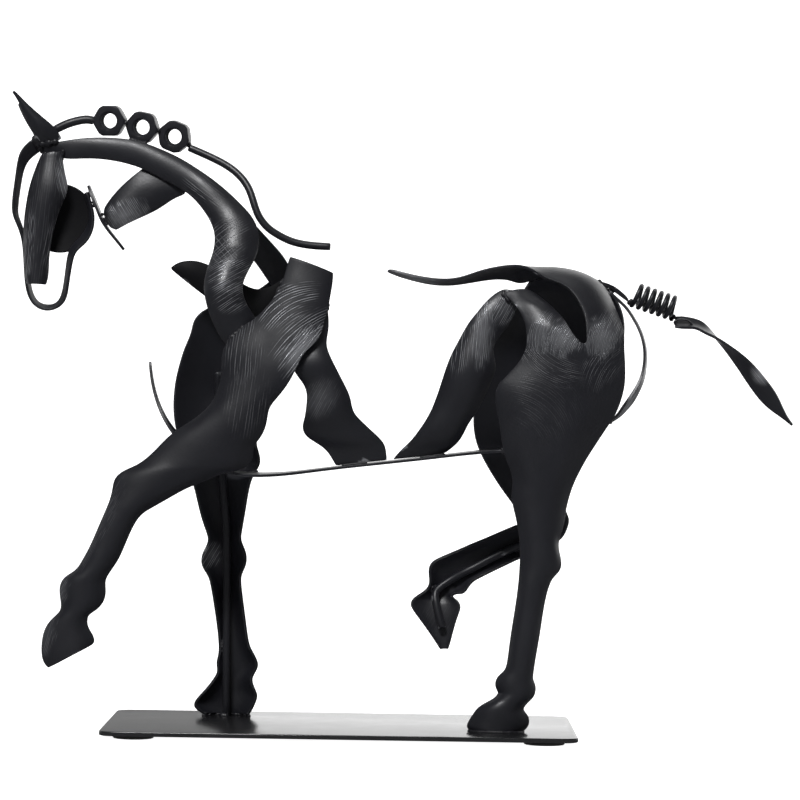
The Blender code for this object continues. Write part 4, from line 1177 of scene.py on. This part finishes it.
@dataclass
class Studio:
    """White sweep, soft lights and the camera.

    Attributes:
        distance: From the camera to the horse's middle plane, m.
        height: Of the camera, m.
        across: Of the camera, m.
        lens: Focal length on a 36 mm sensor, mm.
        roll: How far the camera is turned about its axis, degrees.
        dim: The glow of the sweep's top left, out of the camera's sight.
        bright: The glow of its top right.
        front: Where the floor ends towards the camera, m.
        back: Where it starts to curve up, m.
        bend: The radius of that curve, m.
        top: The height of the sweep, m.
        half: Half its width, m.
        air_glow: The light that comes from all round.
    """

    distance: float = 1.15
    height: float = 0.1088
    across: float = -0.0009
    lens: float = 158.27
    roll: float = 0.9
    dim: float = 0.05
    bright: float = 1.4
    front: float = -0.22
    back: float = 0.9
    bend: float = 0.5
    top: float = 2.6
    half: float = 2.6
    air_glow: float = 0.10

    def sweep(self) -> None:
        """The pale floor, and behind it the backdrop that curves up from it."""
        line = [Vector((0, self.back, 0))]
        steps = 12
        for i in range(1, steps + 1):
            angle = math.radians(90 * i / steps)
            rise = self.bend - self.bend * math.cos(angle)
            line.append(Vector((0, self.back + self.bend * math.sin(angle), rise)))
        line.append(Vector((0, self.back + self.bend, self.top)))
        white = self.white()
        floor = self.sheet("studio_floor", [Vector((0, self.front, 0)), line[0]], white)
        floor.visible_glossy = False
        self.sheet("studio_wall", line, white)
        self.flag()

    def flag(self) -> None:
        """A grey card behind the left of the plate, out of the camera's sight, which the plate reflects."""
        middle, width, height = (-0.385, 0.5, 0.15), 0.60, 0.30
        deselect()
        bpy.ops.mesh.primitive_plane_add(size=1, location=middle, rotation=(math.pi / 2, 0, 0))
        card = named(bpy.context.object, "studio_flag")
        card.scale = (width, height, 1)
        settle(card)
        grey = bpy.data.materials.new("studio_grey")
        grey.use_nodes = True
        shader = grey.node_tree.nodes["Principled BSDF"]
        shader.inputs["Base Color"].default_value = (0.1, 0.1, 0.1, 1)
        shader.inputs["Emission Color"].default_value = (1, 1, 1, 1)
        shader.inputs["Emission Strength"].default_value = 0.25
        card.data.materials.append(grey)
        card.visible_camera = False

    def sheet(self, name: str, line: list[Vector], material: bpy.types.Material) -> bpy.types.Object:
        """A wide sheet of the backdrop.

        Args:
            name: Its name.
            line: Its outline in the side view.
            material: Its material.

        Returns:
            The sheet.
        """
        deselect()
        bpy.ops.mesh.primitive_plane_add(size=1)
        sheet = named(bpy.context.object, name)
        mesh = bmesh.new()
        rows = [[mesh.verts.new(p + Vector((x, 0, 0))) for p in line] for x in (-self.half, self.half)]
        for i in range(len(line) - 1):
            mesh.faces.new((rows[0][i], rows[1][i], rows[1][i + 1], rows[0][i + 1]))
        mesh.to_mesh(sheet.data)
        mesh.free()
        smooth_by_angle(sheet, 60)
        sheet.data.materials.clear()
        sheet.data.materials.append(material)
        return sheet

    def white(self) -> bpy.types.Material:
        """The backdrop's white, which glows less towards its top left and is clear from behind.

        Returns:
            The material.
        """
        white = bpy.data.materials.new("studio_white")
        white.use_nodes = True
        nodes, links = white.node_tree.nodes, white.node_tree.links
        shader = nodes["Principled BSDF"]
        shader.inputs["Base Color"].default_value = (0.8, 0.8, 0.8, 1)
        shader.inputs["Roughness"].default_value = 0.9
        shader.inputs["Specular IOR Level"].default_value = 0
        shader.inputs["Emission Color"].default_value = (1, 1, 1, 1)
        parts = nodes.new("ShaderNodeSeparateXYZ")
        links.new(nodes.new("ShaderNodeTexCoord").outputs["Object"], parts.inputs[0])
        across = soft_step(white.node_tree, parts.outputs[0], (-0.22, 0.05, self.dim, self.bright))
        upwards = soft_step(white.node_tree, parts.outputs[2], (0.42, 0.52, 0, 1))
        glow = nodes.new("ShaderNodeMix")
        links.new(upwards, glow.inputs["Factor"])
        glow.inputs[2].default_value = 1
        links.new(across, glow.inputs[3])
        links.new(glow.outputs[0], shader.inputs["Emission Strength"])
        sided = nodes.new("ShaderNodeMixShader")
        links.new(nodes.new("ShaderNodeNewGeometry").outputs["Backfacing"], sided.inputs[0])
        links.new(shader.outputs[0], sided.inputs[1])
        links.new(nodes.new("ShaderNodeBsdfTransparent").outputs[0], sided.inputs[2])
        links.new(sided.outputs[0], nodes["Material Output"].inputs["Surface"])
        return white

    def lamp(self, name: str, place: tuple[float, float, float], aim: tuple[float, float, float],
             size: tuple[float, float], watts: float) -> None:
        """One soft light.

        Args:
            name: Its name.
            place: Where it hangs, m.
            aim: What it looks at, m.
            size: Its width and height, m.
            watts: Its power.
        """
        data = bpy.data.lights.new(name, "AREA")
        data.shape = "RECTANGLE"
        data.size, data.size_y = size
        data.energy = watts
        lamp = bpy.data.objects.new(name, data)
        bpy.context.scene.collection.objects.link(lamp)
        lamp.location = place
        lamp.rotation_euler = (Vector(aim) - Vector(place)).to_track_quat("-Z", "Y").to_euler()

    def air(self) -> None:
        """White all round to the eye, but a dim light on the sculpture."""
        world = bpy.data.worlds.new("studio_air")
        world.use_nodes = True
        nodes, links = world.node_tree.nodes, world.node_tree.links
        seen = nodes.new("ShaderNodeMapRange")
        seen.inputs["To Min"].default_value = self.air_glow
        seen.inputs["To Max"].default_value = 1.0
        links.new(nodes.new("ShaderNodeLightPath").outputs["Is Camera Ray"], seen.inputs["Value"])
        nodes["Background"].inputs["Color"].default_value = (1, 1, 1, 1)
        links.new(seen.outputs["Result"], nodes["Background"].inputs["Strength"])
        bpy.context.scene.world = world

    def make(self) -> None:
        """Sets the studio up."""
        self.sweep()
        self.lamp("key_box", (-0.30, -1.02, 1.12), (0, 0, 0.12), (0.38, 0.18), 18)
        self.lamp("top_box", (0.1, 0.1, 1.3), (0, 0, 0.12), (0.8, 0.3), 0.8)
        self.air()
        bpy.context.scene.view_settings.view_transform = "Standard"
        data = bpy.data.cameras.new("studio_camera")
        data.lens = self.lens
        data.sensor_width = 36
        data.clip_start = 0.05
        camera = bpy.data.objects.new("studio_camera", data)
        bpy.context.scene.collection.objects.link(camera)
        turn = Matrix.Rotation(math.radians(90), 4, "X") @ Matrix.Rotation(math.radians(self.roll), 4, "Z")
        camera.matrix_world = Matrix.Translation((self.across, -self.distance, self.height)) @ turn
        bpy.context.scene.camera = camera


def main() -> None:
    """Builds the sculpture in its studio."""
    logging.basicConfig(level=logging.INFO, format="%(message)s")
    horse = (ForeQuarters(), HindQuarters(), Trunk(), Neck(), Head(), Mane(), Tail(), Welds())
    for group in (Studio(), Base(), *horse):
        group.make()
        LOG.info("%s done", type(group).__name__)


if __name__ == "__main__":
    main()
